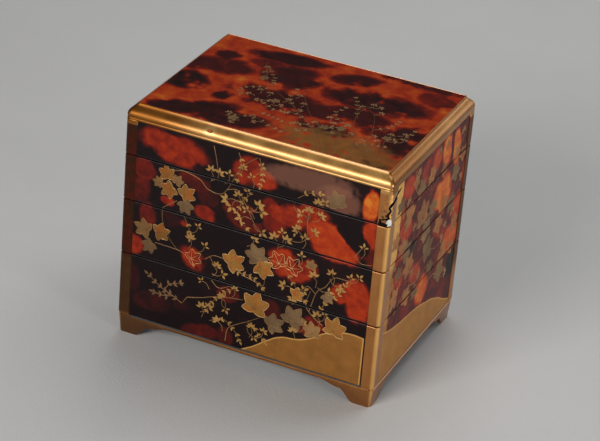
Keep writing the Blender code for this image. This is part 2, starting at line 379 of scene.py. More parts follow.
TOP_PATCHES = (
    (-27.5, 40.8, 22, 6.6, 6, 0.25), (-57.5, 27.5, 7.5, 5.5, 10, 0.31), (-54, 14, 18, 10, 6, 0.37),
    (-66, 9.5, 9, 8.5, 0, 0.34), (-16.5, 20, 16.5, 14.5, 0, 0.3), (-33, 28, 11, 6.5, 0, 0.42),
    (-62.5, -12, 12, 11, 5, 0.23), (-36.8, -19, 7, 5.6, 20, 0.26), (-10, -8.5, 29, 12.5, -2, 0.31),
    (-44.5, -40.5, 25, 8, 26, 0.25), (-21, -42, 19, 8.6, 18, 0.28), (14, 36.5, 14, 6.8, 22, 0.3),
    (33, 16.5, 29, 11.5, 2, 0.27), (31, -4.5, 19, 10.5, 0, 0.32), (9, -9, 15, 9, 0, 0.34),
    (47, 49.5, 24, 4.6, -3, 0.36), (60.5, 37, 12, 9.5, 0, 0.46), (63, -17, 11.5, 17, 6, 0.28),
    (22, -25.5, 15, 6.6, 0, 0.3), (48, -13, 10, 8, 0, 0.4), (60, -48, 8, 3.8, 0, 0.34),
)

# How soft the edges of a side's patches are, and how far they wander in millimetres
PATCH_SOFTNESS = 0.32
PATCH_EDGES = {"front": (PATCH_SOFTNESS, 1.6), "right": (PATCH_SOFTNESS, 1.6), "top": (0.60, 2.2)}
PLAIN_EDGES = (0.50, 3.2)

# How much fine clouds in the lacquer add to its clearness or take from it
CLOUDING = 0.08

# The sides that hardly show
PLAIN_CLEARNESS = 0.16
PLAIN_PATCH_COUNT = 13

# The dusting of gold where the plants of the top rise: across, up, half width, half height, tilt
TOP_DUST = ((37, -41, 30, 13, -6),)
DUST_SOFTNESS = 0.55
DUST_TONES = (linear(76, 50, 22), linear(142, 96, 44))

# A painted reflection: pale clouds on the lid's front, entered likewise, and how far they cover the lacquer
FRONT_PAINTED_REFLECTION = ((29, 119, 24, 6, 2), (46, 113, 11, 6.5, -12))
PAINTED_REFLECTION_SHARE = 0.48
PAINTED_REFLECTION_TONE = linear(128, 84, 66)

# The upper edge of the gold ground on two sides, as points across and up
FRONT_GROUND = ((-9, 7.5), (4, 15), (19, 25.5), (34, 29.2), (47, 37.2), (59, 40.3), (74, 38))
RIGHT_GROUND = ((-56, 44), (-41, 39.5), (-25, 36.5), (-8, 34.5), (9, 31), (25, 26), (42, 17.5), (56, 11))

# How far the ground stays from the posts, where less than 0 lets it run on over them
FRONT_MARGIN = 0.7
RIGHT_MARGIN = -1

# Dark and light grains of the gold ground by side, where the right side is lighter than the front as painted
# light, and the line along its upper edge
GROUND_TONES = {
    "front": (linear(112, 74, 34), linear(166, 112, 54)),
    "right": (linear(128, 86, 40), linear(192, 134, 68)),
}
GROUND_LINE_TONE = linear(200, 150, 86)

# How far the gold of the front right post runs on over the right side, and where it is wider and brighter
RIGHT_BAND = -43.6
BAND_WIDENING = 3.4
BAND_WIDENS_AT = (72, 84)
BAND_TONES = (linear(182, 132, 60), linear(236, 182, 102))

# Raised gold by finish: its name, its shade and light, how rough and how metallic it is, and its warm hearts
RAISED_GOLD = {
    "leaf": ("leaf_gold", linear(128, 87, 40), linear(165, 116, 56), 0.42, 0.4, linear(158, 90, 36)),
    "bright": ("raised_gold_bright", linear(136, 99, 52), linear(176, 134, 76), 0.38, 0.3),
    "soft": ("raised_gold_soft", linear(112, 82, 50), linear(150, 112, 70), 0.44, 0.3),
    "grey": ("raised_gold_grey", linear(88, 68, 46), linear(126, 98, 68), 0.5, 0.2),
    "tan": ("raised_gold_tan", linear(124, 78, 44), linear(164, 108, 62), 0.46, 0.15),
    "line": ("raised_gold_line", linear(170, 132, 82), linear(198, 160, 106), 0.36, 0.4),
    "faint": ("raised_gold_faint", linear(84, 64, 38), linear(124, 98, 62), 0.5, 0.3),
    "worn": ("worn_brown", linear(128, 62, 26), linear(172, 98, 46), 0.4, 0.3),
    "vein": ("vein_brown", linear(92, 56, 28), linear(124, 80, 40), 0.5, 0.3),
}

# Tones of the gold: rubbed thin, painted shade darker at the left, a painted highlight around the nick, and
# flaked beside the crack
RUBBED_TONE = linear(92, 44, 20)
LEFT_SHADE_TONE = linear(70, 42, 18)
NICK_GLINT_TONE = linear(236, 196, 132)
FLAKED_TONE = linear(66, 46, 44)

# Tones of the gold lacquer by place: the posts' own brown and streaks; painted shade on the lower shaded
# posts, the feet, the rim and its crown; a painted highlight along the posts' outer edges
POST_BROWN = linear(154, 88, 32)
LOWER_SHADE_TONE = linear(56, 36, 20)
FOOT_SHADE_TONE = linear(72, 40, 16)
RIM_SHADE_TONE = linear(124, 72, 22)
CROWN_SHADE_TONE = linear(126, 82, 38)
STREAK_TONE = linear(110, 62, 30)
ARRIS_HIGHLIGHT_TONE = linear(236, 184, 104)

# Heights between which posts, feet and the crown of the rim go over into what is above them
POST_END = (123, 124.5)
FOOT_END = (10.9, 12)
RIM_CROWN = (132.7, 133.3)

# How much farther a place lies across than along the depth where the rim's right side begins
RIGHT_OF_MITRE = (17.4, 18.8)


def panel_place(graph, side):
    """Where a point of a side lies in the drawing: across and up, with nothing behind."""
    x, y, z = graph.parts(graph.drawn_place())
    if side == "top":
        return graph.joined(x, y)
    across = {"front": x, "right": y, "back": x, "left": y}[side]
    return graph.joined(across * -1 if side in ("back", "left") else across, z)


def warped(graph, place, size, reach):
    """A place that wanders by up to reach millimetres, in waves of size millimetres."""
    waves = graph.noise(place, size, 1, output=1)
    sway = graph.vector("SUBTRACT", waves, (0.5, 0.5, 0.5))
    return graph.vector("ADD", place, graph.vector("MULTIPLY", sway, (2 * reach,) * 3))


def patch(graph, place, entry, beyond, softness=PATCH_SOFTNESS):
    """One patch: its own clearness in the middle, going softly over to the one beyond it."""
    across, up, half_width, half_height, tilt, middle = entry
    turned = graph.fed(graph.add("Mapping", vector_type="TEXTURE"), place, (across, up, 0),
                       (0, 0, math.radians(tilt)), (half_width, half_height, 1))
    distance = graph.vector("LENGTH", turned)
    return graph.step(distance, 1 - softness / 2, 1 + softness, middle, beyond)


def shell_clearness(graph, place, patches, clearness, softness, sway):
    """How clear the lacquer is over a whole side, from 0, black, to 1, amber."""
    wandering = warped(graph, warped(graph, place, 17, sway), 4, 0.5)
    tide = graph.noise(place, 16)
    total = graph.step(tide, 0.40, 0.72, clearness - 0.05, clearness + 0.13)
    for entry in patches:
        clearer = entry[-1] > clearness
        spot = patch(graph, wandering, entry, clearness if clearer else 1, softness)
        total = graph.number("MAXIMUM" if clearer else "MINIMUM", total, spot)
    cloud = graph.noise(wandering, 6, 4, 0.6)
    return total + graph.step(cloud, 0.3, 0.7, -CLOUDING, CLOUDING) * (total + 0.3)


def ground_depth(graph, place, outline, limit):
    """How far a place lies inside the gold ground, from its upper edge and from the posts."""
    across, up, _ = graph.parts(warped(graph, place, 9, 0.5))
    start = outline[0][0]
    length = outline[-1][0] - start
    points = [((x - start) / length, y / DRAWN_HEIGHT) for x, y in outline]
    edge = graph.curve((across - start) / length, points) * DRAWN_HEIGHT
    straight_across = graph.parts(place)[0]
    return graph.number("MINIMUM", edge - up, limit - graph.number("ABSOLUTE", straight_across))


def sprinkled(graph, place, low, high):
    """The colour of sprinkled gold powder, from its dark grains to its light ones."""
    coarse = graph.noise(place, 7, 3)
    fine = graph.noise(place, 0.35, 2, 0.7)
    share = graph.number("MULTIPLY_ADD", fine, 0.7, coarse * 0.3)
    return graph.mix(graph.step(share, 0.25, 0.75), low, high)


def shell_material(side, patches, clearness, gloss, outline=None, limit=0, band=None, dust=(), painted_reflection=()):
    """Tortoiseshell lacquer of one side, with its gold ground, its dusting of gold and a painted reflection.
    """
    graph = Graph("tortoiseshell_lacquer_" + side)
    place = panel_place(graph, side)
    softness, sway = PATCH_EDGES.get(side, PLAIN_EDGES)
    level = shell_clearness(graph, place, patches, clearness, softness, sway)
    colour = graph.ramp(level, SHELL_COLOURS)
    # A painted reflection: pale clouds over the lacquer
    for entry in painted_reflection:
        reflection_cloud = patch(graph, warped(graph, place, 6, 1.6), entry + (PAINTED_REFLECTION_SHARE,), 0)
        colour = graph.mix(reflection_cloud, colour, PAINTED_REFLECTION_TONE)
    gold = 0
    powder = colour
    if outline:
        # The ground's tones differ between front and right as painted light
        powder = sprinkled(graph, place, *GROUND_TONES[side])
        depth = ground_depth(graph, place, outline, limit)
        gold = graph.step(depth, -0.25, 0.25)
        powder = graph.mix(gold * graph.step(depth, 0.55, 0.95, 1, 0), powder, GROUND_LINE_TONE)
    if band:
        across, up, _ = graph.parts(warped(graph, place, 5, 0.8))
        upper = graph.step(up, *BAND_WIDENS_AT)
        beyond = graph.number("MULTIPLY_ADD", upper, -BAND_WIDENING, across)
        on_band = graph.step(beyond, band - 0.6, band + 0.6, 1, 0)
        powder = graph.mix(upper * on_band, powder, sprinkled(graph, place, *BAND_TONES))
        gold = graph.number("MAXIMUM", gold, on_band)
    for entry in dust:
        haze = patch(graph, warped(graph, place, 8, 3), entry + (1,), 0, DUST_SOFTNESS)
        spots = haze * graph.step(graph.noise(place, 0.45, 3, 0.7), 0.28, 0.50)
        colour = graph.mix(spots, colour, sprinkled(graph, place, *DUST_TONES))
    colour = graph.mix(gold, colour, powder)
    smudges = graph.noise(place, 9, 5, 0.65)
    scratches = graph.noise(graph.vector("MULTIPLY", place, (0.25, 3, 1)), 1.2)
    polish = graph.step(smudges, 0.35, 0.75, 0.10, 0.20) + graph.step(scratches, 0.6, 0.8, 0, 0.05)
    waves = graph.noise(place, 12, 1)
    grain = graph.noise(place, 0.5)
    return graph.finish(
        Base_Color=colour,
        Metallic=gold * 0.5,
        Roughness=graph.number("MULTIPLY_ADD", gold, 0.3, polish),
        IOR=1.4,
        Specular_IOR_Level=gloss,
        Normal=graph.bump(grain * gold, 0.03, Normal=graph.bump(waves, 0.05)),
    )


def random_patches(seed, half_width):
    """Patches of the plainer sides."""
    rng = random.Random(seed)
    patches = []
    for _ in range(PLAIN_PATCH_COUNT):
        across = rng.uniform(-half_width, half_width)
        up = rng.uniform(14, 124)
        long_side = rng.uniform(7, 15)
        short_side = long_side * rng.uniform(0.4, 0.7)
        patches.append((across, up, long_side, short_side, rng.uniform(-30, 30), rng.uniform(0.45, 0.85)))
    return patches


def gold_material(name, shade, light, roughness, metal=0.9, heart=None):
    """Gold lacquer: a satin metal of fine powder, rubbed thin here and there, with warm hearts or without."""
    graph = Graph(name)
    place = graph.drawn_place()
    cloud = graph.noise(place, 14, 4, 0.55)
    grain = graph.noise(place, 0.4, 3, 0.7)
    share = graph.step(cloud, 0.3, 0.7, 0, 0.7) + graph.step(grain, 0.25, 0.75, -0.1, 0.3)
    colour = graph.mix(share, shade, light)
    if heart:
        warmth = graph.noise(place, 4.5)
        colour = graph.mix(graph.step(warmth, 0.46, 0.60, 0, 0.8), colour, heart)
    rubbed = graph.step(graph.noise(place, 2.6, 6, 0.72), 0.66, 0.76, 0, 0.55)
    colour = graph.mix(rubbed, colour, RUBBED_TONE)
    metallic = graph.number("MULTIPLY_ADD", rubbed, -0.6 * metal, metal)
    satin = graph.step(cloud, 0.3, 0.7, roughness - 0.04, roughness + 0.05) + grain * 0.06
    return graph, place, colour, metallic, satin, grain


def raised_material(name, shade, light, roughness, metal, heart=None):
    """Gold of the raised plants, with painted shade that darkens it towards the left."""
    graph, place, colour, metallic, satin, grain = gold_material(name, shade, light, roughness, metal, heart)
    left_shade = graph.step(graph.parts(place)[0], -66, -8, 0.42, 0)
    return graph.finish(Base_Color=graph.mix(left_shade, colour, LEFT_SHADE_TONE), Metallic=metallic, Roughness=satin,
                        Specular_IOR_Level=0.15, Normal=graph.bump(grain, 0.012))


def post_material():
    """The gold of posts, rim and feet: browner and streaked down the posts, with painted highlights along
    their outer edges and around the nick, and painted shade on the feet, the rim and two posts.
    """
    graph, place, colour, metallic, satin, grain = gold_material(
        "gold_lacquer", linear(170, 120, 62), linear(208, 160, 92), 0.40)
    x, y, z = graph.parts(place)
    on_post = graph.step(z, *POST_END, 1, 0)
    colour = graph.mix(on_post * 0.72, colour, POST_BROWN)
    # Painted shade on the feet, darker towards the left
    on_foot = graph.step(z, *FOOT_END, 1, 0)
    colour = graph.mix(on_foot * graph.step(x, -74, 40, 0.80, 0.22), colour, FOOT_SHADE_TONE)
    # Painted shade along the crown of the rim
    colour = graph.mix(graph.step(z, *RIM_CROWN, 0, 0.6), colour, CROWN_SHADE_TONE)

    # Painted shade: the rim is browner along its right side and towards its left front corner
    on_rim = 1 - on_post
    ridge = graph.step(x - graph.number("ABSOLUTE", y), *RIGHT_OF_MITRE)
    rim_right_shade = graph.step(y, -45, 50, 0.80, 0.35) * ridge
    rim_left_shade = graph.step(x, -60, -12, 0.92, 0) * graph.step(y, -50, -40, 1, 0)
    rim_shade = on_rim * graph.number("MAXIMUM", rim_right_shade, rim_left_shade)
    colour = graph.mix(rim_shade, colour, RIM_SHADE_TONE)
    # A painted highlight in a ring around the nick
    from_nick = graph.vector("LENGTH", graph.vector("SUBTRACT", place, NICK_GLINT_PLACE))
    colour = graph.mix(graph.step(from_nick, 1.8, 4.6, 0.4, 0), colour, NICK_GLINT_TONE)

    # Streaks down the posts, and a painted highlight along their outer edges
    streaks = graph.noise(graph.vector("MULTIPLY", place, (1, 1, 0.07)), 0.9, 3, 0.6)
    colour = graph.mix(on_post * graph.step(streaks, 0.48, 0.72, 0, 0.26), colour, STREAK_TONE)
    to_side = graph.step(graph.number("ABSOLUTE", x), 71.7, 72.7)
    to_front = graph.step(graph.number("ABSOLUTE", y), 53.5, 54.5)
    edge = on_post * (to_side * to_front)
    colour = graph.mix(edge * 0.55, colour, ARRIS_HIGHLIGHT_TONE)

    # Painted shade: the front left post, and the upper part of the back right one, are darkened to brown,
    # less so low down
    front_left = graph.step(x, -66, -65, 1, 0) * graph.step(y, -50, -49, 1, 0)
    right = graph.step(x, 65, 66) * graph.step(z, 26, 40, 0, 0.85)
    back_right = right * graph.step(y, 48, 48.5)
    above_foot = on_post * graph.step(z, 9, 14, 0.35, 1)
    post_shade = graph.number("MAXIMUM", front_left, back_right) * above_foot
    patchy = graph.noise(place, 5, 4, 0.6)
    post_shade = post_shade * graph.step(patchy, 0.35, 0.70, 1, 0.96)
    post_shade_tone = graph.mix(graph.step(patchy, 0.40, 0.62), linear(58, 20, 10), linear(26, 12, 8))
    post_shade_tone = graph.mix(graph.step(z, 45, 49, 0.8, 0), post_shade_tone, LOWER_SHADE_TONE)
    colour = graph.mix(post_shade, colour, post_shade_tone)
    metallic = metallic * graph.number("MULTIPLY_ADD", post_shade, -0.95, 1)
    coat = graph.number("MULTIPLY_ADD", graph.number("MAXIMUM", post_shade, rim_shade), -0.6, 0.6)

    # Gold flaked off beside the crack
    away = graph.vector("MULTIPLY", graph.vector("SUBTRACT", place, FLAKED_PLACE), (1, 1, 0.6))
    flaked = graph.step(graph.vector("LENGTH", away), 3, 6, 1, 0)
    flakes = graph.noise(place, 1.1, 3, 0.6)
    colour = graph.mix(flaked * graph.step(flakes, 0.56, 0.60, 0, 0.8), colour, FLAKED_TONE)
    surface = graph.bump(flaked * flakes, 0.5, Normal=graph.bump(grain, 0.012))
    return graph.finish(Base_Color=colour, Metallic=metallic, Roughness=satin, Specular_IOR_Level=0.06,
                        Coat_Weight=coat, Coat_Roughness=0.25, Normal=surface)


def black_material():
    """Black lacquer of the insides and undersides, with a little dust and fine rubbing."""
    graph = Graph("black_lacquer")
    place = graph.drawn_place()
    dust = graph.noise(place, 1.4, 5, 0.7)
    cloud = graph.noise(place, 18, 3)
    colour = graph.mix(graph.step(dust, 0.55, 0.8, 0, 0.5), linear(18, 15, 16), linear(46, 40, 38))
    roughness = graph.step(cloud, 0.3, 0.7, 0.10, 0.18) + graph.step(dust, 0.5, 0.8, 0, 0.15)
    return graph.finish(Base_Color=colour, Roughness=roughness, IOR=1.45, Normal=graph.bump(cloud, 0.04))


def bare_material():
    """What shows in the chip: black undercoat, and pale ground where the chip is deepest."""
    graph = Graph("bare_ground")
    place = graph.drawn_place()
    away = graph.vector("DISTANCE", warped(graph, place, 1, 0.4), PALE_SPOT)
    grain = graph.noise(place, 0.4, 4)
    ground = graph.mix(grain, linear(150, 146, 140), linear(232, 230, 224))
    under = graph.mix(graph.step(grain, 0.45, 0.6), linear(20, 16, 16), linear(120, 84, 44))
    colour = graph.mix(graph.step(away, 2.7, 3.2, 1, 0), under, ground)
    return graph.finish(Base_Color=colour, Roughness=0.75, Normal=graph.bump(grain, 0.15))


def seam_shade_material():
    """The dark lower edges of the carcases: painted shade in the seams, with rubbed lighter spots."""
    graph = Graph("seam_painted_shade")
    rub = graph.noise(graph.drawn_place(), 3, 5, 0.7)
    colour = graph.mix(graph.step(rub, 0.56, 0.70), linear(13, 10, 10), linear(64, 30, 20))
    return graph.finish(Base_Color=colour, Roughness=0.45, Normal=graph.bump(rub, 0.03))


def crack_material():
    """The dark inside of a crack."""
    graph = Graph("crack_dark")
    grain = graph.noise(graph.drawn_place(), 0.5, 3)
    colour = graph.mix(grain, linear(6, 5, 5), linear(28, 20, 16))
    return graph.finish(Base_Color=colour, Roughness=0.8, Specular_IOR_Level=0.05,
                        Normal=graph.bump(grain, 0.1))


def floor_material():
    """Pale grey with faint clouds and grain."""
    graph = Graph("pale_floor")
    place = graph.drawn_place()
    grain = graph.noise(place, 1.2, 3)
    share = graph.number("MULTIPLY_ADD", grain, 0.4, graph.noise(place, 90, 3) * 0.6)
    colour = graph.mix(share, (0.48, 0.48, 0.475, 1), (0.56, 0.56, 0.555, 1))
    return graph.finish(Base_Color=colour, Roughness=0.7, Normal=graph.bump(grain, 0.15))


def make_materials():
    """Every finish of the box by its name."""
    finishes = {
        "front": shell_material("front", FRONT_PATCHES, FRONT_CLEARNESS, 0.18, FRONT_GROUND,
                                WIDE_REACH - FRONT_MARGIN, painted_reflection=FRONT_PAINTED_REFLECTION),
        "right": shell_material("right", RIGHT_PATCHES, RIGHT_CLEARNESS, 0.05, RIGHT_GROUND,
                                DEEP_REACH - RIGHT_MARGIN, RIGHT_BAND),
        "top": shell_material("top", TOP_PATCHES, TOP_CLEARNESS, 0.25, dust=TOP_DUST),
        "left": shell_material("left", random_patches(3, 48), PLAIN_CLEARNESS, 0.18),
        "back": shell_material("back", random_patches(8, 66), PLAIN_CLEARNESS, 0.18),
        GOLD: post_material(),
        BLACK: black_material(),
        "seam": seam_shade_material(),
        "bare": bare_material(),
        "crack": crack_material(),
        "floor": floor_material(),
    }
    for finish, (name, shade, light, *rest) in RAISED_GOLD.items():
        finishes[finish] = raised_material(name, shade, light, *rest)
    return finishes


def shares(steps, first=0):
    """Even steps from 0 to 1."""
    return [step / steps for step in range(first, steps + 1)]


def quarter_turns(steps, first=0):
    """Even turns from 0 to a right angle."""
    return [math.pi / 2 * step / steps for step in range(first, steps + 1)]


def corner_points(half_x, half_y, radius, relief):
    """One corner of a ring, counter-clockwise: panel end, post edge, arris, post edge, panel start."""
    step_x = min(WIDTH / 2 - POST_WIDTH, half_x - radius - POST_SLOPE)
    step_y = min(DEPTH / 2 - POST_WIDTH, half_y - radius - POST_SLOPE)
    rise = shares(SLOPE_STEPS)
    sunk = [relief * (1 + math.cos(math.pi * share)) / 2 for share in rise]
    points = [(half_x - relief, step_y - POST_SLOPE - FLAT_START)]
    points += [(half_x - low, step_y - POST_SLOPE * (1 - share)) for share, low in zip(rise, sunk)]
    for angle in quarter_turns(CORNER_STEPS):
        x = half_x - radius + radius * math.cos(angle)
        y = half_y - radius + radius * math.sin(angle)
        points.append((x, y))
    points += [(step_x - POST_SLOPE * (1 - share), half_y - low)
               for share, low in zip(reversed(rise), reversed(sunk))]
    points.append((step_x - POST_SLOPE - FLAT_START, half_y - relief))
    return points


def ring(inset, z, relief=0, radius=POST_RADIUS):
    """A closed ring, counter-clockwise from above, that lies inset from the posts' faces."""
    corner = corner_points(WIDTH / 2 - inset, DEPTH / 2 - inset, radius, relief)
    corners = []
    for side_x, side_y in ((1, -1), (1, 1), (-1, 1), (-1, -1)):
        turned = corner if side_x * side_y > 0 else reversed(corner)
        corners.append([Vector((side_x * x, side_y * y, z)) for x, y in turned])
    points = []
    for here, onward in zip(corners, corners[1:] + corners[:1]):
        points += here
        points += [here[-1].lerp(onward[0], share) for share in shares(STRAIGHT_STEPS, 1)[:-1]]
    return points


def side_of(middle):
    """The side, or the gold post, that a place on the outer wall belongs to."""
    near_x = abs(middle.x) > WIDTH / 2 - POST_WIDTH - POST_SLOPE
    near_y = abs(middle.y) > DEPTH / 2 - POST_WIDTH - POST_SLOPE
    if near_x and near_y:
        return GOLD
    if abs(middle.y) * WIDTH > abs(middle.x) * DEPTH:
        return "front" if middle.y < 0 else "back"
    return "right" if middle.x > 0 else "left"


def finish_at(place, finish):
    """What a face of the outer wall is finished with: posts are gold down to their lower edges."""
    if finish not in (SHELL, SEAM_SHADE):
        return finish
    side = side_of(place)
    return side if finish == SHELL or side == GOLD else finish


def loft(name, rings, finishes):
    """One closed body through the rings, with a flat cap on the first and on the last."""
    used = []

    def slot(finish):
        if finish not in used:
            used.append(finish)
        return used.index(finish)

    shape = bmesh.new()
    rows = [[shape.verts.new(point) for point in row] for row in rings]
    shape.faces.new(list(reversed(rows[0]))).material_index = slot(finishes[0])
    for low, high, finish in zip(rows, rows[1:], finishes):
        for i in range(len(low)):
            j = (i + 1) % len(low)
            face = shape.faces.new((low[i], low[j], high[j], high[i]))
            place = face.calc_center_median()
            face.material_index = slot(finish_at(place, finish))
    shape.faces.new(rows[-1]).material_index = slot(finishes[-1])
    return mesh_object(name, shape, used)


def linked(name, data):
    """A new object of the scene, with this mesh, light or camera."""
    item = bpy.data.objects.new(name, data)
    bpy.context.scene.collection.objects.link(item)
    return item


def mesh_object(name, shape, finishes):
    """An object of a bmesh, smooth but for its sharp edges, with the materials of its finishes."""
    mesh = bpy.data.meshes.new(name)
    shape.to_mesh(mesh)
    shape.free()
    for finish in finishes:
        mesh.materials.append(MATERIALS[finish])
    mesh.shade_smooth()
    mesh.set_sharp_from_angle(angle=SHARP_ANGLE)
    return linked(name, mesh)


def edge_turns(radius):
    """(inset, rise) around a rounded edge, from its level end to its upright one."""
    turns = quarter_turns(EDGE_STEPS)
    return [(radius * (1 - math.sin(turn)), radius * (1 - math.cos(turn))) for turn in turns]


def rounded_rows(base, top=None):
    """The outside of a wall, its lower edge rounded and painted dark as shade in the seam, its upper edge
    rounded where it has one.
    """
    foot = edge_turns(FOOT_EDGE_RADIUS)
    rows = [ring(inset, base + rise, POST_RELIEF) for inset, rise in foot]
    finishes = [SEAM_SHADE] * EDGE_STEPS + [SHELL]
    rows.append(ring(0, base + FOOT_EDGE_RADIUS + FLAT_START, POST_RELIEF))
    finishes.append(SHELL)
    if top:
        rows.append(ring(0, top - EDGE_RADIUS - FLAT_START, POST_RELIEF))
        rows += [ring(inset, top - rise, POST_RELIEF) for inset, rise in reversed(edge_turns(EDGE_RADIUS))]
        finishes += [SHELL] * (EDGE_STEPS + 2)
    return rows, finishes


def wall_rows(base, top):
    """The outside of a tier's wall, with black beyond its upper edge."""
    rows, finishes = rounded_rows(base, top)
    return rows, finishes[:-1] + [BLACK]


def underside_rows(base):
    """The recess that takes the lip below, from the middle outward to the foot of the wall."""
    return [ring(SKIRT, base + RECESS_HEIGHT), ring(SKIRT, base)], [BLACK, BLACK]


def lip_and_inside_rows(top, floor_top):
    """The lip, then the inside of the wall down to the floor, whose edge is rounded."""
    crown = top + LIP_HEIGHT
    rows = [
        ring(LEDGE, top),
        ring(LEDGE, crown - EDGE_RADIUS),
        ring(LEDGE + EDGE_RADIUS, crown),
        ring(WALL - EDGE_RADIUS, crown, radius=INNER_RADIUS),
        ring(WALL, crown - EDGE_RADIUS, radius=INNER_RADIUS),
        ring(WALL, floor_top + EDGE_RADIUS, radius=INNER_RADIUS),
        ring(WALL + EDGE_RADIUS, floor_top, radius=INNER_RADIUS),
    ]
    return rows, [BLACK] * len(rows)


def joined(*stretches):
    """Rings and finishes of several stretches of a profile, one after the other."""
    rings = [row for rows, _ in stretches for row in rows]
    finishes = [finish for _, marks in stretches for finish in marks]
    return rings, finishes


def tier(node, base, top):
    """One of the two upper tiers: its recess below, its wall, its lip and its inside."""
    rings, finishes = joined(
        underside_rows(base),
        wall_rows(base, top),
        lip_and_inside_rows(top, base + RECESS_HEIGHT + FLOOR_THICKNESS),
    )
    return loft(node + "_lacquered", rings, finishes)


def rim_profile():
    """(inset, drop) of the lid's moulding, from the band at its foot up to the top panel."""
    profile = []
    for rise in shares(BEAD_STEPS):
        inset = BEAD_GROOVE * (1 - math.sin(math.pi * rise) ** BEAD_FULLNESS)
        profile.append((inset, RIM_DROP - BEAD_HEIGHT * rise))
    ridge_foot = RIM_DROP - RIM_BAND
    profile.append((BEAD_GROOVE, (RIM_DROP - BEAD_HEIGHT + ridge_foot) / 2))
    ridge_top = FILLET_DROP + COVE_DROP
    for rise in shares(CURVE_STEPS):
        inset = RIDGE_WIDTH * rise ** 2
        lean = 2 * rise * (1 - rise) * RIDGE_LEAN
        profile.append((inset, ridge_top + lean + RIDGE_DROP * (1 - rise) ** 2))
    cove_length = math.hypot(COVE_WIDTH, COVE_DROP)
    for rise in shares(CURVE_STEPS, 1):
        hollow = COVE_HOLLOW * 4 * rise * (1 - rise) / cove_length
        inset = RIDGE_WIDTH + COVE_WIDTH * rise + COVE_DROP * hollow
        profile.append((inset, ridge_top - COVE_DROP * rise + COVE_WIDTH * hollow))
    fillet_outside = RIM_WIDTH - FILLET_WIDTH
    for turn in quarter_turns(EDGE_STEPS, 1):
        inset = fillet_outside + FILLET_WIDTH * (1 - math.cos(turn))
        profile.append((inset, FILLET_DROP * (1 - math.sin(turn))))
    profile.append((RIM_WIDTH + PANEL_STEP, PANEL_DROP))
    return profile


def rim_ring(inset, drop):
    """A ring of the moulding, whose corners grow sharper towards the panel."""
    radius = POST_RADIUS + (PANEL_RADIUS - POST_RADIUS) * inset / RIM_WIDTH
    return ring(inset, LID_TOP - drop, radius=radius)


def ceiling_rows():
    """The lid's inside: a flat ceiling, a cove that follows the rim, and the wall."""
    rows = []
    for turn in quarter_turns(CURVE_STEPS):
        inset = WALL + RIM_WIDTH * math.cos(turn)
        drop = LID_TOP_THICKNESS + (RIM_DROP - LID_TOP_THICKNESS) * math.sin(turn)
        rows.append(ring(inset, LID_TOP - drop, radius=INNER_RADIUS))
    rows.append(ring(WALL, LID_BASE + RECESS_HEIGHT, radius=INNER_RADIUS))
    return rows, [BLACK] * len(rows)


def lid_outside_rows():
    """The lid's outer wall and, above it, the moulded rim up to the top panel."""
    rows, finishes = rounded_rows(LID_BASE)
    rows.append(ring(0, LID_TOP - RIM_DROP - POST_SLOPE, POST_RELIEF))
    finishes.append(GOLD)
    for inset, drop in rim_profile():
        rows.append(rim_ring(inset, drop))
        finishes.append(GOLD)
    finishes[-1] = "top"
    return rows, finishes


def base_rows():
    """The space under the floor, the feet's soles, and their tapered outer faces."""
    rows = [
        ring(WALL, FOOT_HEIGHT),
        ring(WALL, 0),
        ring(FOOT_TAPER, 0),
        ring(APRON_INSET, APRON_CLEARANCE),
        ring(APRON_INSET, FOOT_HEIGHT - APRON_GROOVE),
        ring(APRON_INSET + APRON_GROOVE, FOOT_HEIGHT),
    ]
    # The band from the apron up to the wall is painted dark as shade
    return rows, [BLACK, GOLD, GOLD, GOLD, GOLD, SEAM_SHADE]


def foot_outline(length):
    """Half of the opening between two feet, from the middle of the side to below the toe."""
    half = length / 2
    apron_end = half - FOOT_SHOULDER - APRON_RUN
    stretches = (
        (apron_end, half - FOOT_SHOULDER, APRON_CLEARANCE, SHOULDER_HEIGHT),
        (half - FOOT_SHOULDER, half - FOOT_TOE, SHOULDER_HEIGHT, 0),
    )
    points = []
    for start, end, high, low in stretches:
        for share in shares(FOOT_STEPS)[:-1]:
            fall = (1 - math.cos(math.pi * share)) / 2
            points.append((start + (end - start) * share, high + (low - high) * fall))
    points += [(half - FOOT_TOE, 0), (half - FOOT_TOE, -FOOT_HEIGHT)]
    return points


def foot_cutter(name, length, across, turned):
    """A prism that opens the skirt between the feet of two facing sides."""
    right = foot_outline(length)
    outline = [(-x, z) for x, z in reversed(right)] + right
    reach = across / 2 + WALL
    shape = bmesh.new()
    ends = []
    for side in (reach, -reach) if turned else (-reach, reach):
        ends.append([shape.verts.new((side, x, z) if turned else (x, side, z)) for x, z in outline])
    front, back = ends
    shape.faces.new(front)
    shape.faces.new(list(reversed(back)))
    for i in range(len(outline)):
        j = (i + 1) % len(outline)
        shape.faces.new((front[j], front[i], back[i], back[j]))
    bmesh.ops.recalc_face_normals(shape, faces=shape.faces)
    return mesh_object(name, shape, [GOLD])


def cut(piece, cutter):
    """Takes the cutter out of the piece, leaves the cutter's finish on the cut, and drops the cutter."""
    boolean = piece.modifiers.new(cutter.name, "BOOLEAN")
    boolean.operation = "DIFFERENCE"
    boolean.solver = "EXACT"
    boolean.material_mode = "TRANSFER"
    boolean.use_self = True
    boolean.object = cutter
    settle(piece)
    bpy.data.objects.remove(cutter)


def settle(piece):
    """Replaces a piece's mesh by what its modifiers make of it."""
    bpy.context.view_layer.update()
    evaluated = piece.evaluated_get(bpy.context.evaluated_depsgraph_get())
    mesh = bpy.data.meshes.new_from_object(evaluated)
    mesh.set_sharp_from_angle(angle=SHARP_ANGLE)
    piece.modifiers.clear()
    piece.data = mesh


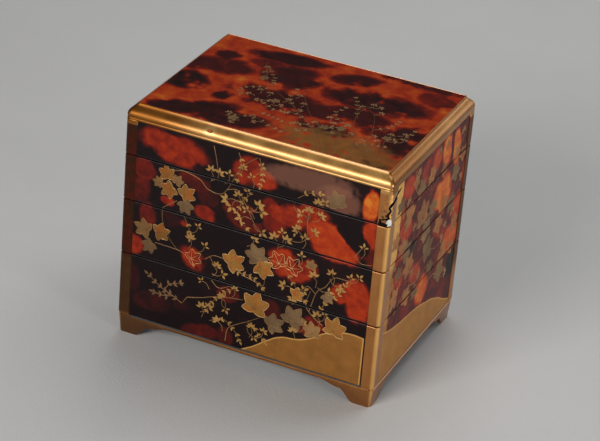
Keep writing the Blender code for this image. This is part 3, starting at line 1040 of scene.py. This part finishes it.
def bottom_tier():
    """The bottom tier, with the apron and the feet cut out of its skirt and their edges softened."""
    base = FOOT_HEIGHT
    rings, finishes = joined(
        base_rows(),
        wall_rows(base + EDGE_RADIUS, BOTTOM_RIM),
        lip_and_inside_rows(BOTTOM_RIM, base + FLOOR_THICKNESS),
    )
    piece = loft("bottom_tier_lacquered", rings, finishes)
    cut(piece, foot_cutter("front_opening", WIDTH, DEPTH, turned=False))
    cut(piece, foot_cutter("side_opening", DEPTH, WIDTH, turned=True))
    bevel = piece.modifiers.new("foot_edges", "BEVEL")
    bevel.width = FOOT_BEVEL
    bevel.segments = 2
    bevel.limit_method = "ANGLE"
    bevel.angle_limit = math.radians(55)
    settle(piece)
    return piece


def rough_ball(shape, place, radii, uneven, rng):
    """Adds a lumpy ellipsoid to a shape."""
    made = bmesh.ops.create_icosphere(shape, subdivisions=2, radius=1)
    for vertex in made["verts"]:
        swell = 1 + uneven * rng.uniform(-1, 1)
        vertex.co = place + Vector(r * c * swell for r, c in zip(radii, vertex.co))


def dent_cutter(name, finish, place, radii, uneven, seed):
    """A lumpy ball that takes a chip or a dent out of the lid, with this finish in it."""
    shape = bmesh.new()
    rough_ball(shape, Vector(place), radii, uneven, random.Random(seed))
    return mesh_object(name, shape, [finish])


def on_box(x, y, z):
    """A place in the drawing's millimetres as a place on the box."""
    return Vector((x * ACROSS_SCALE, y * BACK_SCALE, z * UP_SCALE))


def crack_cutter():
    """A ragged groove along the crack, and the small flakes lost around its lower end."""
    rng = random.Random(11)
    shape = bmesh.new()
    path = [on_box(*place) for *place, _ in CRACK_PATH]
    sections = []
    for index, place in enumerate(path):
        before = path[max(index - 1, 0)]
        after = path[min(index + 1, len(path) - 1)]
        along = (after - before).normalized()
        side = along.cross(CRACK_FACING).normalized()
        other = along.cross(side)
        reach = CRACK_PATH[index][-1] * rng.uniform(*CRACK_SPREAD)
        turns = [math.tau * step / CRACK_SIDES for step in range(CRACK_SIDES)]
        sections.append([shape.verts.new(place + (side * math.cos(t) + other * math.sin(t)) * reach)
                         for t in turns])
    shape.faces.new(sections[0])
    shape.faces.new(list(reversed(sections[-1])))
    for low, high in zip(sections, sections[1:]):
        for i in range(CRACK_SIDES):
            j = (i + 1) % CRACK_SIDES
            shape.faces.new((low[i], high[i], high[j], low[j]))
    for _ in range(FLAKE_COUNT):
        place = on_box(rng.uniform(*FLAKES_ACROSS), FLAKE_FACE, rng.uniform(*FLAKES_UP))
        size = rng.uniform(*FLAKE_RADIUS)
        rough_ball(shape, place, (size * 1.3, size, size), 0.25, rng)
    rough_ball(shape, on_box(*LAST_FLAKE), LAST_FLAKE_RADII, 0.2, rng)
    bmesh.ops.recalc_face_normals(shape, faces=shape.faces)
    return mesh_object("crack", shape, ["crack"])


def lid():
    """The lid with the splinter gone from its front right post, the nick in its front rim, and the crack."""
    rings, finishes = joined(ceiling_rows(), underside_rows(LID_BASE), lid_outside_rows())
    piece = loft("lid_lacquered", rings, finishes)
    chip_place = (WIDTH / 2 + CHIP_OUTSET, -DEPTH / 2 - CHIP_OUTSET, LID_BASE + CHIP_RISE)
    chip_radii = [CHIP_RADIUS * (1 + CHIP_UNEVENNESS / 2)] * 3
    nick_place = (NICK_PLACE - WIDTH / 2, NICK_INSET - DEPTH / 2, LID_TOP - NICK_DROP)
    nick_radii = (NICK_WIDTH / 2, NICK_DEPTH, NICK_HEIGHT / 2)
    cut(piece, dent_cutter("chip", "bare", chip_place, chip_radii, CHIP_UNEVENNESS, 5))
    cut(piece, dent_cutter("nick", "worn", nick_place, nick_radii, NICK_UNEVENNESS, 6))
    cut(piece, crack_cutter())
    return piece


class Panel:
    """A flat side of the box that is drawn on: its middle line, its directions and its reach."""

    def __init__(self, origin, across, up, scale, half_width):
        self.origin = origin
        self.across = across * scale[0]
        self.up = up * scale[1]
        self.out = across.cross(up)
        self.half_width = half_width

    def place(self, across, up, lift):
        return self.origin + self.across * across + self.up * up + self.out * lift * 0.001


def make_panels():
    """The five panels by name."""
    x = Vector((1, 0, 0))
    y = Vector((0, 1, 0))
    z = Vector((0, 0, 1))
    return {
        "front": Panel(y * (POST_RELIEF - DEPTH / 2), x, z, (ACROSS_SCALE, UP_SCALE), WIDE_REACH),
        "right": Panel(x * (WIDTH / 2 - POST_RELIEF), y, z, (BACK_SCALE, UP_SCALE), DEEP_REACH),
        "back": Panel(y * (DEPTH / 2 - POST_RELIEF), -x, z, (ACROSS_SCALE, UP_SCALE), WIDE_REACH),
        "left": Panel(x * (POST_RELIEF - WIDTH / 2), -y, z, (BACK_SCALE, UP_SCALE), DEEP_REACH),
        "top": Panel(z * (LID_TOP - PANEL_DROP), x, y, (ACROSS_SCALE, BACK_SCALE),
                     DRAWN_WIDTH / 2 - (RIM_WIDTH + FLAT_START) / ACROSS_SCALE),
    }


def smooth_line(points, steps=5):
    """Points along a Catmull-Rom curve through a few points."""
    ends = [Vector(points[0]) * 2 - Vector(points[1])]
    ends += [Vector(point) for point in points]
    ends.append(Vector(points[-1]) * 2 - Vector(points[-2]))
    line = []
    for a, b, c, d in zip(ends, ends[1:], ends[2:], ends[3:]):
        for t in shares(steps)[:-1]:
            line.append(0.5 * (2 * b + (c - a) * t + (2 * a - 5 * b + 4 * c - d) * t ** 2
                               + (3 * b - a - 3 * c + d) * t ** 3))
    line.append(Vector(points[-1]))
    return line


def heading(degrees):
    """The direction that many degrees counter-clockwise from straight across."""
    turn = math.radians(degrees)
    return Vector((math.cos(turn), math.sin(turn)))


# The finishes of raised gold in the order of a piece's materials
FINISH_ORDER = ("leaf", "bright", "soft", "grey", "tan", "line", "vein", "faint")

# A burst of leaflets: the width of its twig, and the angle that it spreads over in degrees
TWIG_WIDTH = 0.4
BURST_FAN = 150

# Half of a lobed leaf: turns from its tip in degrees, and how far it reaches there
LEAF_EDGE = (
    (0, 1), (9, 0.84), (22, 0.62), (34, 0.74), (47, 0.88), (60, 0.68), (76, 0.46), (90, 0.54), (105, 0.64),
    (122, 0.46), (150, 0.26), (180, 0.14),
)
LOBES = ((0, 1), (47, 0.88), (-47, 0.88), (105, 0.64), (-105, 0.64))
LEAF_STEPS = 72

# Shares of a leaf's size: how far its tip is from its joint, and the joint from its middle
LEAF_REACH = 0.72
JOINT_OFFSET = 0.24

# Rings of a leaf's fill from its edge to its joint: share of the way out, and lift as a share of the gold's
LEAF_RINGS = ((0.78, 0.75), (0.4, 0.9), (0.04, 0.6))

# The fill ripples by this share of its lift, once in so many degrees
RIPPLE = 0.22
RIPPLE_TURN = 57

# Widths of a leaf's edge and veins as shares of its size, and how far a vein reaches into its lobe
RIM_SHARE = 0.035
VEIN_SHARE = 0.04
VEIN_REACH = 0.86

# A leaflet: steps along it, half its width as a share of its length, and how soon it is widest
LEAFLET_STEPS = 7
LEAFLET_HALF_WIDTH = 0.29
LEAFLET_BELLY = 0.72

# Where a sprig's leaflets begin, in spacings before its foot, and how far a pair turns from its stem
SPRIG_START = 0.25
FIRST_TURN = 52
SECOND_TURN = 40

# Fill, edge and veins of each kind of leaf, where an outline leaf has no fill
LEAF_KINDS = {
    "gold": ("leaf", "line", "vein"),
    "soft": ("soft", "bright", "vein"),
    "grey": ("grey", "soft", "soft"),
    "tan": ("tan", "soft", "vein"),
    "outline": (None, "line", "line"),
    "faint": ("faint", "soft", "vein"),
}


def leaf_reach(degrees):
    """How far a lobed leaf reaches at a turn from its tip."""
    turn = abs((degrees + 180) % 360 - 180)
    for (start, low), (end, high) in zip(LEAF_EDGE, LEAF_EDGE[1:]):
        if turn <= end:
            return low + (high - low) * (turn - start) / (end - start)


class Drawing:
    """Raised gold on one panel. Places and sizes are in the drawing's millimetres."""

    def __init__(self, panel):
        self.panel = panel
        self.shape = bmesh.new()

    def strip(self, rows, finish, closed=False):
        """Faces between rows of (across, up, lift), left to right along the way they go."""
        made = [[self.shape.verts.new(self.panel.place(*point)) for point in row] for row in rows]
        if closed:
            made.append(made[0])
        for low, high in zip(made, made[1:]):
            for i in range(len(low) - 1):
                face = self.shape.faces.new((low[i], low[i + 1], high[i + 1], high[i]))
                face.material_index = FINISH_ORDER.index(finish)

    def ridge_row(self, middle, side, lift):
        """One row of a ridge: its left foot, its crest and its right foot."""
        return [(*(middle + side), -GOLD_BED), (*middle, lift), (*(middle - side), -GOLD_BED)]

    def ribbon(self, line, width, finish, taper=0.5, lift=GOLD_LIFT, closed=False):
        """A low ridge along a line, which narrows towards its end."""
        rows = []
        last = len(line) - 1
        for index, place in enumerate(line):
            if closed:
                along = line[(index + 1) % len(line)] - line[index - 1]
            else:
                along = line[min(index + 1, last)] - line[max(index - 1, 0)]
            left = Vector((-along.y, along.x)).normalized()
            half = width / 2 * (1 - (0 if closed else taper) * index / last)
            rows.append(self.ridge_row(place, left * half, lift))
        self.strip(rows, finish, closed)

    def stem(self, points, width=0.55, finish="soft"):
        self.ribbon(smooth_line(points), width, finish)

    def leaflet(self, place, turn, length, finish="bright"):
        """A drop-shaped leaflet from its stalk end, with a ridge along its middle."""
        along = heading(turn)
        left = Vector((-along.y, along.x))
        rows = []
        for share in shares(LEAFLET_STEPS):
            half = length * LEAFLET_HALF_WIDTH * math.sin(math.pi * share ** LEAFLET_BELLY)
            middle = Vector(place) + along * length * share
            lift = GOLD_LIFT * math.sin(math.pi * min(max(share, 0.06), 0.94))
            rows.append(self.ridge_row(middle, left * half, lift))
        self.strip(rows, finish)

    def burst(self, across, up, turn, count=4, length=3, finish="bright", twig=6):
        """Leaflets that spread from the end of a twig, centred on a direction."""
        tip = Vector((across, up))
        bend = tip - heading(turn + 14) * twig * 0.5
        self.ribbon(smooth_line((tip - heading(turn - 8) * twig, bend, tip)), TWIG_WIDTH, "soft", taper=0.2)
        for index in range(count):
            share = index / (count - 1) - 0.5 if count > 1 else 0
            angle = turn + BURST_FAN * share
            start = Vector((across, up)) + heading(angle) * 0.5
            size = length * (1 - 0.35 * abs(share))
            self.leaflet(start, angle, size, finish)

    def leaf(self, across, up, size, turn, kind):
        """A lobed leaf about its middle, with veins, whose tip points along turn."""
        fill, rim, vein = LEAF_KINDS[kind]
        axis = heading(turn)
        reach = size * LEAF_REACH
        joint = Vector((across, up)) - axis * size * JOINT_OFFSET
        turns = [360 * step / LEAF_STEPS - 180 for step in range(LEAF_STEPS)]
        edge = [joint + heading(turn + t) * reach * leaf_reach(t) for t in turns]
        if fill:
            rings = [(1, -GOLD_BED)] + [(share, lift * GOLD_LIFT) for share, lift in LEAF_RINGS]
            rows = []
            for t, outer in zip(turns, edge):
                ridge = 1 - RIPPLE + RIPPLE * math.cos(math.tau * t / RIPPLE_TURN)
                row = [(*(joint + (outer - joint) * share), lift * ridge if lift > 0 else lift)
                       for share, lift in rings]
                rows.append(list(reversed(row)))
            self.strip(rows, fill, closed=True)
        self.ribbon(edge, size * RIM_SHARE, rim, lift=GOLD_LIFT * 0.7, closed=True)
        for lobe, length in LOBES:
            tip = joint + heading(turn + lobe) * reach * length * VEIN_REACH
            line = [joint.lerp(tip, share) for share in (0, 0.5, 1)]
            self.ribbon(line, size * VEIN_SHARE, vein, taper=0.7, lift=GOLD_LIFT * 1.15)

    def sprig(self, points, spacing, length, width=0.6, finish="bright", stalk="soft"):
        """A stem with pairs of leaflets along it and one at its tip."""
        line = smooth_line(points)
        self.ribbon(line, width, stalk)
        walked = -SPRIG_START * spacing
        side = 1
        for before, after in zip(line, line[1:]):
            walked += (after - before).length
            if walked < spacing:
                continue
            walked = 0
            turn = math.degrees(math.atan2(after.y - before.y, after.x - before.x))
            self.leaflet(after, turn + FIRST_TURN * side, length, finish)
            self.leaflet(after, turn - SECOND_TURN * side, length * 0.8, finish)
            side = -side
        tip = line[-1] - line[-2]
        self.leaflet(line[-1], math.degrees(math.atan2(tip.y, tip.x)), length, finish)


def draw_front(drawing):
    """Trailing stems with lobed leaves and bush clover over the three tiers and the lid."""
    for points in (
        ((-23.8, 123.8), (-21.6, 115), (-20.5, 108.5)),
        ((-46, 103.5), (-39.3, 104.9), (-30.4, 102.7), (-26, 98.8), (-19.3, 97.7), (-14.9, 101.6),
         (-9.3, 113.8), (-4.9, 119.3), (0.7, 124)),
        ((-14.9, 101.6), (-9.3, 102.7), (-4.9, 97.1), (-1.6, 91.6), (1.8, 86), (6.8, 81.6)),
        ((-42.7, 87.1), (-48.2, 82.7), (-50.4, 80.4), (-50.4, 73.8), (-47.7, 67.1), (-43.8, 61.6),
         (-40.4, 58.8)),
        ((-53.8, 59.3), (-40.4, 58.8), (-36, 57)),
        ((-24.9, 58.2), (-20.4, 61.6), (-14.9, 61.6), (-12.7, 60.4)),
        ((-22, 60.4), (-18.2, 53.8)),
        ((-3.8, 55.4), (1.8, 54.3), (8.4, 52.7), (9.5, 58)),
        ((35.1, 46), (38.4, 58.2), (42.9, 62.7), (47.3, 69.3), (55.1, 69.9), (59.6, 72.7)),
        ((38, 57), (33, 60), (28, 54)),
        ((-33.8, 32.7), (-26, 34.9), (-17.1, 38.2), (-9, 40), (-2, 41)),
        ((-33.8, 32.7), (-36.6, 28.2)),
        ((-10.4, 13.8), (-9.3, 21.6), (-3.8, 26), (1.8, 29.3), (8.4, 33.8)),
        ((-20.4, 47), (-16, 43.8), (-9.3, 47)),
        ((30.7, 102.7), (30.1, 96), (30.7, 88.2), (27.3, 83.8), (20, 83)),
        ((57.3, 84.9), (60.7, 81.6), (66.8, 82.2)),
        ((57.3, 84.9), (61, 91)),
        ((43, 40), (37, 44), (33, 49), (35.1, 58)),
    ):
        drawing.stem(points)
    for leaf in (
        (-49.3, 101.6, 9.5, 100, "gold"), (-54.3, 94.9, 6.5, 170, "soft"), (-48.2, 91.6, 10, -140, "gold"),
        (-36.9, 92.9, 10.5, 40, "gold"), (-37.3, 84.6, 9.5, -60, "grey"), (-42.7, 98.9, 7, 60, "soft"),
        (-61.6, 66, 11, 160, "soft"), (-50.2, 66.6, 10.5, 20, "gold"), (-57.7, 56, 9, -130, "grey"),
        (-7.9, 62.2, 13, 35, "gold"), (3.4, 70, 12.5, 115, "grey"), (8.8, 62.4, 12, -20, "gold"),
        (5.4, 41.4, 15.5, 80, "gold"), (27.6, 40.2, 14, 60, "grey"), (17, 32.9, 12, 30, "grey"),
        (50, 41.4, 13, 80, "gold"), (37.6, 35.8, 10.5, 100, "soft"), (15.4, 70.2, 10.5, 120, "outline"),
        (24.8, 69.6, 10.5, 60, "outline"), (28.2, 53.6, 8.5, 20, "gold"), (34.4, 73, 6.5, 80, "soft"),
        (-31, 57.5, 9.5, 40, "outline"), (44.5, 113, 11, 110, "grey"), (45, 56.5, 7.5, -40, "grey"),
    ):
        drawing.leaf(*leaf)
    for burst in (
        (-24.5, 109.5, 100, 4, 3.4), (-20, 109, 60, 4, 3.4), (-14.5, 110, 80, 3, 3), (-7, 116, 60, 4, 2.6),
        (-2, 112, 110, 3, 2.6), (35, 107.5, 90, 5, 3.4), (38.5, 109, 50, 3, 3), (3, 119.5, 70, 3, 2.4),
        (-14.5, 96, 190, 4, 4.2), (-11.8, 92.7, 240, 3, 4), (-8.6, 99.8, 110, 4, 3.2), (-3.6, 103, 70, 3, 3),
        (2.6, 97, 50, 4, 4.2), (4.4, 94.2, 0, 3, 4), (-6.5, 87.5, 200, 3, 3.4), (5.5, 82.8, 330, 3, 3.6),
        (-3.5, 93, 150, 3, 3), (30.5, 102, 90, 5, 3.4), (37, 101, 50, 4, 3.4), (26.5, 100, 140, 3, 3),
        (25, 90, 130, 4, 3.4), (34, 91, 50, 4, 3.4), (29.5, 86.5, 90, 3, 3), (13, 82, 120, 4, 3.8),
        (19.5, 82.2, 60, 4, 3.8), (17, 86, 100, 3, 3), (61.5, 90.5, 90, 3, 2.8), (-33.8, 67.5, 90, 5, 3.6),
        (-25.6, 65.5, 60, 3, 3), (-18, 55.5, 80, 5, 3.4), (-14.6, 52.2, 20, 3, 3.2), (1.8, 77.4, 60, 4, 3.2),
        (20.5, 56.5, 170, 4, 3.6), (31, 57, 30, 3, 3.4), (25.5, 50.6, 250, 4, 3.4), (36.2, 66.5, 110, 4, 3.8),
        (44.5, 60.2, 0, 3, 3.4), (45.7, 70.8, 110, 4, 3.2), (49.6, 64.6, 330, 4, 3.4), (56, 71.5, 80, 3, 2.8),
        (60.5, 73, 50, 3, 2.8), (28.5, 76, 90, 3, 2.8), (-30, 75.5, 60, 3, 2.6), (-25, 29.5, 100, 4, 3.6),
        (-21.2, 30.5, 50, 4, 3.4), (-13.8, 38.6, 120, 5, 3.2), (-15.5, 24, 130, 4, 3.4),
        (-11.5, 32.5, 300, 3, 3), (3.8, 26, 90, 5, 3.2), (10.7, 25.6, 60, 4, 3), (5.5, 21, 320, 3, 2.8),
        (27.3, 31.2, 100, 5, 3.4), (39.8, 44.5, 110, 4, 3.6), (-7, 45.5, 80, 4, 2.6), (-26, 45, 150, 3, 2.4),
        (32.5, 37.5, 80, 4, 2.8), (44, 46, 60, 3, 2.8),
    ):
        drawing.burst(*burst)
    for points in (
        ((-10, 124), (-8, 118), (-9.5, 109)),
        ((1.5, 124), (4, 116), (3, 108.5)),
        ((24, 108), (30, 112.5), (36, 113.5)),
        ((-1, 104), (-6, 97), (-8.5, 89), (-3, 83)),
        ((-38, 79), (-35, 73), (-34.5, 67.5)),
        ((-12, 62), (-6, 56.5), (2, 56), (8, 51.5)),
        ((20, 66), (26, 58.5), (32, 51.5)),
        ((40, 45.5), (44, 54), (50.5, 60), (54, 67.5)),
        ((-6, 47), (-12, 42.5), (-18, 36), (-22, 29)),
        ((-20, 23), (-12, 26), (-6, 22), (-2, 16)),
        ((2, 30), (8, 24), (12, 20)),
        ((22, 103), (26, 96), (24, 88)),
    ):
        drawing.sprig(points, spacing=2.9, length=2.5, width=0.4)
    for points in (
        ((-36.6, 28.2), (-42, 31), (-49, 34), (-57, 39.5)),
        ((-47, 33.5), (-44, 37.5), (-38.5, 39.5)),
        ((-42, 31), (-47.5, 29.5), (-53.5, 30)),
    ):
        drawing.sprig(points, spacing=2.6, length=3, finish="grey")


def draw_right(drawing):
    """Large pale leaves and trailing stems."""
    for points in (
        ((-38, 58), (-28, 66), (-16, 76), (-8, 86), (2, 100), (16, 108)),
        ((-8, 86), (8, 84), (24, 90), (36, 96)),
        ((-28, 66), (-12, 62), (4, 64), (18, 60)),
        ((-36, 46), (-22, 54), (-6, 52), (10, 56)),
        ((6, 42), (18, 44), (30, 38), (38, 40)),
        ((-24, 124), (-22, 112), (-14, 106)),
    ):
        drawing.stem(points, width=0.9)
    for leaf in (
        (-8, 93, 17, 95, "tan"), (36.5, 97.5, 12, 60, "grey"), (-34, 84, 12, 150, "tan"),
        (6, 66, 15, 20, "grey"), (-22, 69, 14, 120, "tan"), (-39, 56.5, 13, 170, "tan"),
        (-20, 50, 13, 60, "tan"), (24, 83, 11, -20, "tan"), (28, 42, 14, 50, "grey"),
        (12, 51, 10, 10, "grey"), (18, 106.5, 9, 40, "tan"), (-14, 110, 12, 110, "grey"),
        (-35, 70, 9, 100, "grey"), (-28, 101, 14, 140, "tan"), (-43, 92, 11, 80, "tan"),
        (-1, 79, 14, 200, "grey"), (18, 75, 13, 60, "tan"), (35, 80, 12, 10, "grey"), (43, 65, 11, 80, "tan"),
        (30, 52, 13, -30, "tan"), (42, 50, 10, 60, "tan"), (-26, 79, 13, 30, "grey"), (1, 112, 11, 60, "tan"),
        (35, 109, 10, 120, "tan"), (-41, 112, 10, 90, "grey"), (45, 105, 10, 50, "tan"),
        (-45, 66, 10, 200, "tan"), (-8, 47, 10, 100, "grey"), (5, 90, 10, 150, "grey"),
        (-21.5, 117, 9, 40, "tan"),
    ):
        drawing.leaf(*leaf)
    for burst in (
        (-20, 120, 60), (20, 119, 120), (8, 120, 80), (42, 118, 100), (-38, 104, 40), (-18, 88, 100),
        (28, 68, 60), (38, 72, 120), (-16, 60, 20), (-42, 50, 90), (-30, 93, 120), (10, 88, 60), (44, 90, 30),
        (-2, 106, 130), (-42, 74, 100), (24, 62, 20), (-6, 56, 330), (36, 36, 0), (-30, 108, 120),
        (-4, 74, 40),
    ):
        drawing.burst(*burst, count=5, length=3.8, finish="soft")


def draw_top(drawing):
    """Autumn plants that rise from the dusted ground at the front right."""
    for points in (
        ((34, -50), (22, -34), (10, -22), (-4, -9), (-16, 0), (-28, 12), (-36, 30)),
        ((28, -46), (18, -24), (9, -14), (-2, 4), (-4, 14)),
        ((46, -50), (41, -30), (33, -12), (30, 2), (34, 18)),
        ((52, -50), (47, -30), (44, -14), (38, 2), (29, 12)),
        ((60, -46), (57, -32), (54, -20), (60, -8)),
        ((38, -48), (32, -34), (20, -28), (8, -27)),
    ):
        drawing.ribbon(smooth_line(points), 0.36, "faint")
    for points in (
        ((20, -30), (14, -26), (4, -30), (-10, -27)),
        ((12, -22), (2, -18), (-8, -20), (-17, -15)),
        ((0, -12), (-7, -3), (-8, 8)),
        ((-18, 2), (-27, 0), (-33, -6), (-31, -13)),
        ((-22, 6), (-24, 14), (-30, 22)),
        ((36, -18), (28, -15), (20, -7), (22, 2)),
        ((32, -6), (27, 6), (22, 16)),
        ((44, -14), (50, -6), (52, 2)),
        ((54, -20), (61, -14), (63, -4)),
        ((10, -42), (0, -39), (-12, -34), (-24, -37)),
        ((40, -36), (48, -30), (56, -28)),
    ):
        drawing.sprig(points, spacing=2.7, length=2.2, width=0.34, finish="soft", stalk="faint")
    for leaf in (
        (-12, -10, 5, 120, "faint"), (22, -24, 5.5, 80, "faint"), (30, -21, 5.5, 40, "faint"),
        (54, -18, 5.5, 70, "faint"), (-22, -40, 6, 170, "faint"), (-29, 12, 5, 110, "faint"),
    ):
        drawing.leaf(*leaf)
    for burst in (
        (-29, 12, 100), (-31, 18, 130), (-22, 8, 60), (-14, -12, 150), (-7, -6, 80), (3, -14, 40),
        (-27, -10, 170), (33, 13, 90), (37, 12, 40), (29, 8, 140), (24, -18, 100), (16, -22, 150),
        (31, -16, 60), (54, -14, 90), (60, -10, 60), (8, -28, 160), (16, -32, 210), (27, -28, 20),
        (-14, -33, 120), (44, -28, 80), (20, -13, 120), (-18, -4, 100), (-4, 2, 90), (47, -20, 50),
        (-10, -38, 200), (-24, -3, 120), (-20, -14, 200), (-2, -19, 300), (-8, -14, 30), (2, -6, 100),
        (36, -24, 60), (26, -22, 200), (51, -24, 130), (58, -20, 30), (62, -16, 80), (-26, -36, 100),
        (-20, -44, 240), (40, 6, 60), (-33, 24, 110), (12, -34, 250),
    ):
        drawing.burst(*burst, count=4, length=2.3, finish="soft", twig=4)


def draw_plain_side(drawing, seed):
    """A few wandering plants for a side that is seldom seen."""
    rng = random.Random(seed)
    for index in range(4):
        place = Vector((drawing.panel.half_width * (0.45 * index - 0.7), rng.uniform(14, 22)))
        direction = rng.uniform(60, 110)
        points = [tuple(place)]
        for _ in range(5):
            direction += rng.uniform(-34, 34)
            place = place + heading(direction) * rng.uniform(11, 17)
            points.append(tuple(place))
        drawing.sprig(points, spacing=6, length=3.4, width=0.8, finish="soft")
        for spot in points[1:5]:
            turn = rng.uniform(0, 360)
            kind = rng.choice(("gold", "soft", "grey"))
            middle = Vector(spot) + heading(turn) * 4.5
            drawing.leaf(*middle, rng.uniform(8, 13), turn, kind)
            drawing.burst(*spot, turn + 150, 4, 3.2)


def kept_between(drawing, low, high):
    """A copy of a drawing's shape, kept between two heights, or within the lid's rim, and off the posts."""
    part = drawing.shape.copy()
    panel = drawing.panel
    across = panel.across.normalized()
    limit = across * (panel.across.length * panel.half_width)
    up = Vector((0, 0, 1))
    if abs(panel.out.z) > 0.5:
        up = Vector((0, 1, 0))
        high = DEPTH / 2 - RIM_WIDTH - FLAT_START
        low = -high
    for point, normal in ((panel.origin + limit, across), (panel.origin - limit, -across),
                          (up * high, up), (up * low, -up)):
        geometry = part.verts[:] + part.edges[:] + part.faces[:]
        bmesh.ops.bisect_plane(part, geom=geometry, plane_co=point, plane_no=normal, clear_outer=True)
    return part


def add_shape(total, part):
    """Adds one bmesh to another."""
    mesh = bpy.data.meshes.new("part")
    part.to_mesh(mesh)
    part.free()
    total.from_mesh(mesh)
    bpy.data.meshes.remove(mesh)


def gold_work():
    """The raised gold, one piece for the lid and one for each tier."""
    drawings = {name: Drawing(panel) for name, panel in make_panels().items()}
    draw_front(drawings["front"])
    draw_right(drawings["right"])
    draw_top(drawings["top"])
    draw_plain_side(drawings["left"], 21)
    draw_plain_side(drawings["back"], 34)
    spans = {
        "lid": (LID_BASE, LID_TOP - RIM_DROP - POST_SLOPE),
        "top_tier": (TOP_BASE, TOP_RIM),
        "middle_tier": (MIDDLE_BASE, MIDDLE_RIM),
        "bottom_tier": (FOOT_HEIGHT + EDGE_RADIUS, BOTTOM_RIM),
    }
    pieces = []
    for node, (base, top) in spans.items():
        total = bmesh.new()
        for name, drawing in drawings.items():
            if node == "lid" or name != "top":
                add_shape(total, kept_between(drawing, base + EDGE_RADIUS, top - EDGE_RADIUS))
        pieces.append(mesh_object(node + "_raised_gold", total, FINISH_ORDER))
    for drawing in drawings.values():
        drawing.shape.free()
    return pieces


def floor():
    """A wide, plain, pale floor."""
    shape = bmesh.new()
    bmesh.ops.create_grid(shape, x_segments=1, y_segments=1, size=3)
    plane = mesh_object("floor", shape, ["floor"])


def aim(item, place, target, roll=0):
    """Puts an item at a place, facing a target, rolled counter-clockwise as it looks."""
    way = (target - place).to_track_quat("-Z", "Y")
    item.matrix_world = Matrix.Translation(place) @ way.to_matrix().to_4x4() @ Matrix.Rotation(roll, 4, "Z")


def soft_light(name, place, size, power, colour=(1, 1, 1)):
    """A square studio light that faces the box."""
    light = bpy.data.lights.new(name, "AREA")
    light.shape = "SQUARE"
    light.size = size
    light.energy = power
    light.color = colour
    aim(linked(name, light), Vector(place), Vector((0, 0, LID_TOP / 2)))


def studio():
    """Soft light from low in front, from above and from both sides, in a dim room."""
    soft_light("front", (-0.32, -1.25, 0.62), 0.6, 15, (1, 0.98, 0.95))
    soft_light("overhead", (0, 0.55, 1.15), 1, 7.5)
    soft_light("right_low", (1.00, -0.42, 0.13), 0.22, 5.5)
    soft_light("back_right", (0.8, 0.95, 0.6), 0.6, 3)
    world = bpy.data.worlds.new("room")
    world.use_nodes = True
    background = world.node_tree.nodes["Background"]
    background.inputs["Color"].default_value = (0.20, 0.20, 0.20, 1)
    background.inputs["Strength"].default_value = 0.4
    bpy.context.scene.world = world
    bpy.context.scene.view_settings.view_transform = "Standard"


def camera():
    """The camera that took the photograph."""
    data = bpy.data.cameras.new("camera")
    data.lens = CAMERA_LENS
    data.sensor_width = 36
    item = linked("camera", data)
    aim(item, CAMERA_PLACE, CAMERA_TARGET, CAMERA_ROLL)
    bpy.context.scene.camera = item


def dress():
    """Puts every piece in the place of its node."""
    carcases = {
        "lid": lid(),
        "top_tier": tier("top_tier", TOP_BASE, TOP_RIM),
        "middle_tier": tier("middle_tier", MIDDLE_BASE, MIDDLE_RIM),
        "bottom_tier": bottom_tier(),
    }
    for node, piece in carcases.items():
        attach(piece, "root")
        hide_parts(node)
    for piece in gold_work():
        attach(piece, "root")


MATERIALS = make_materials()
dress()
floor()
studio()
camera()
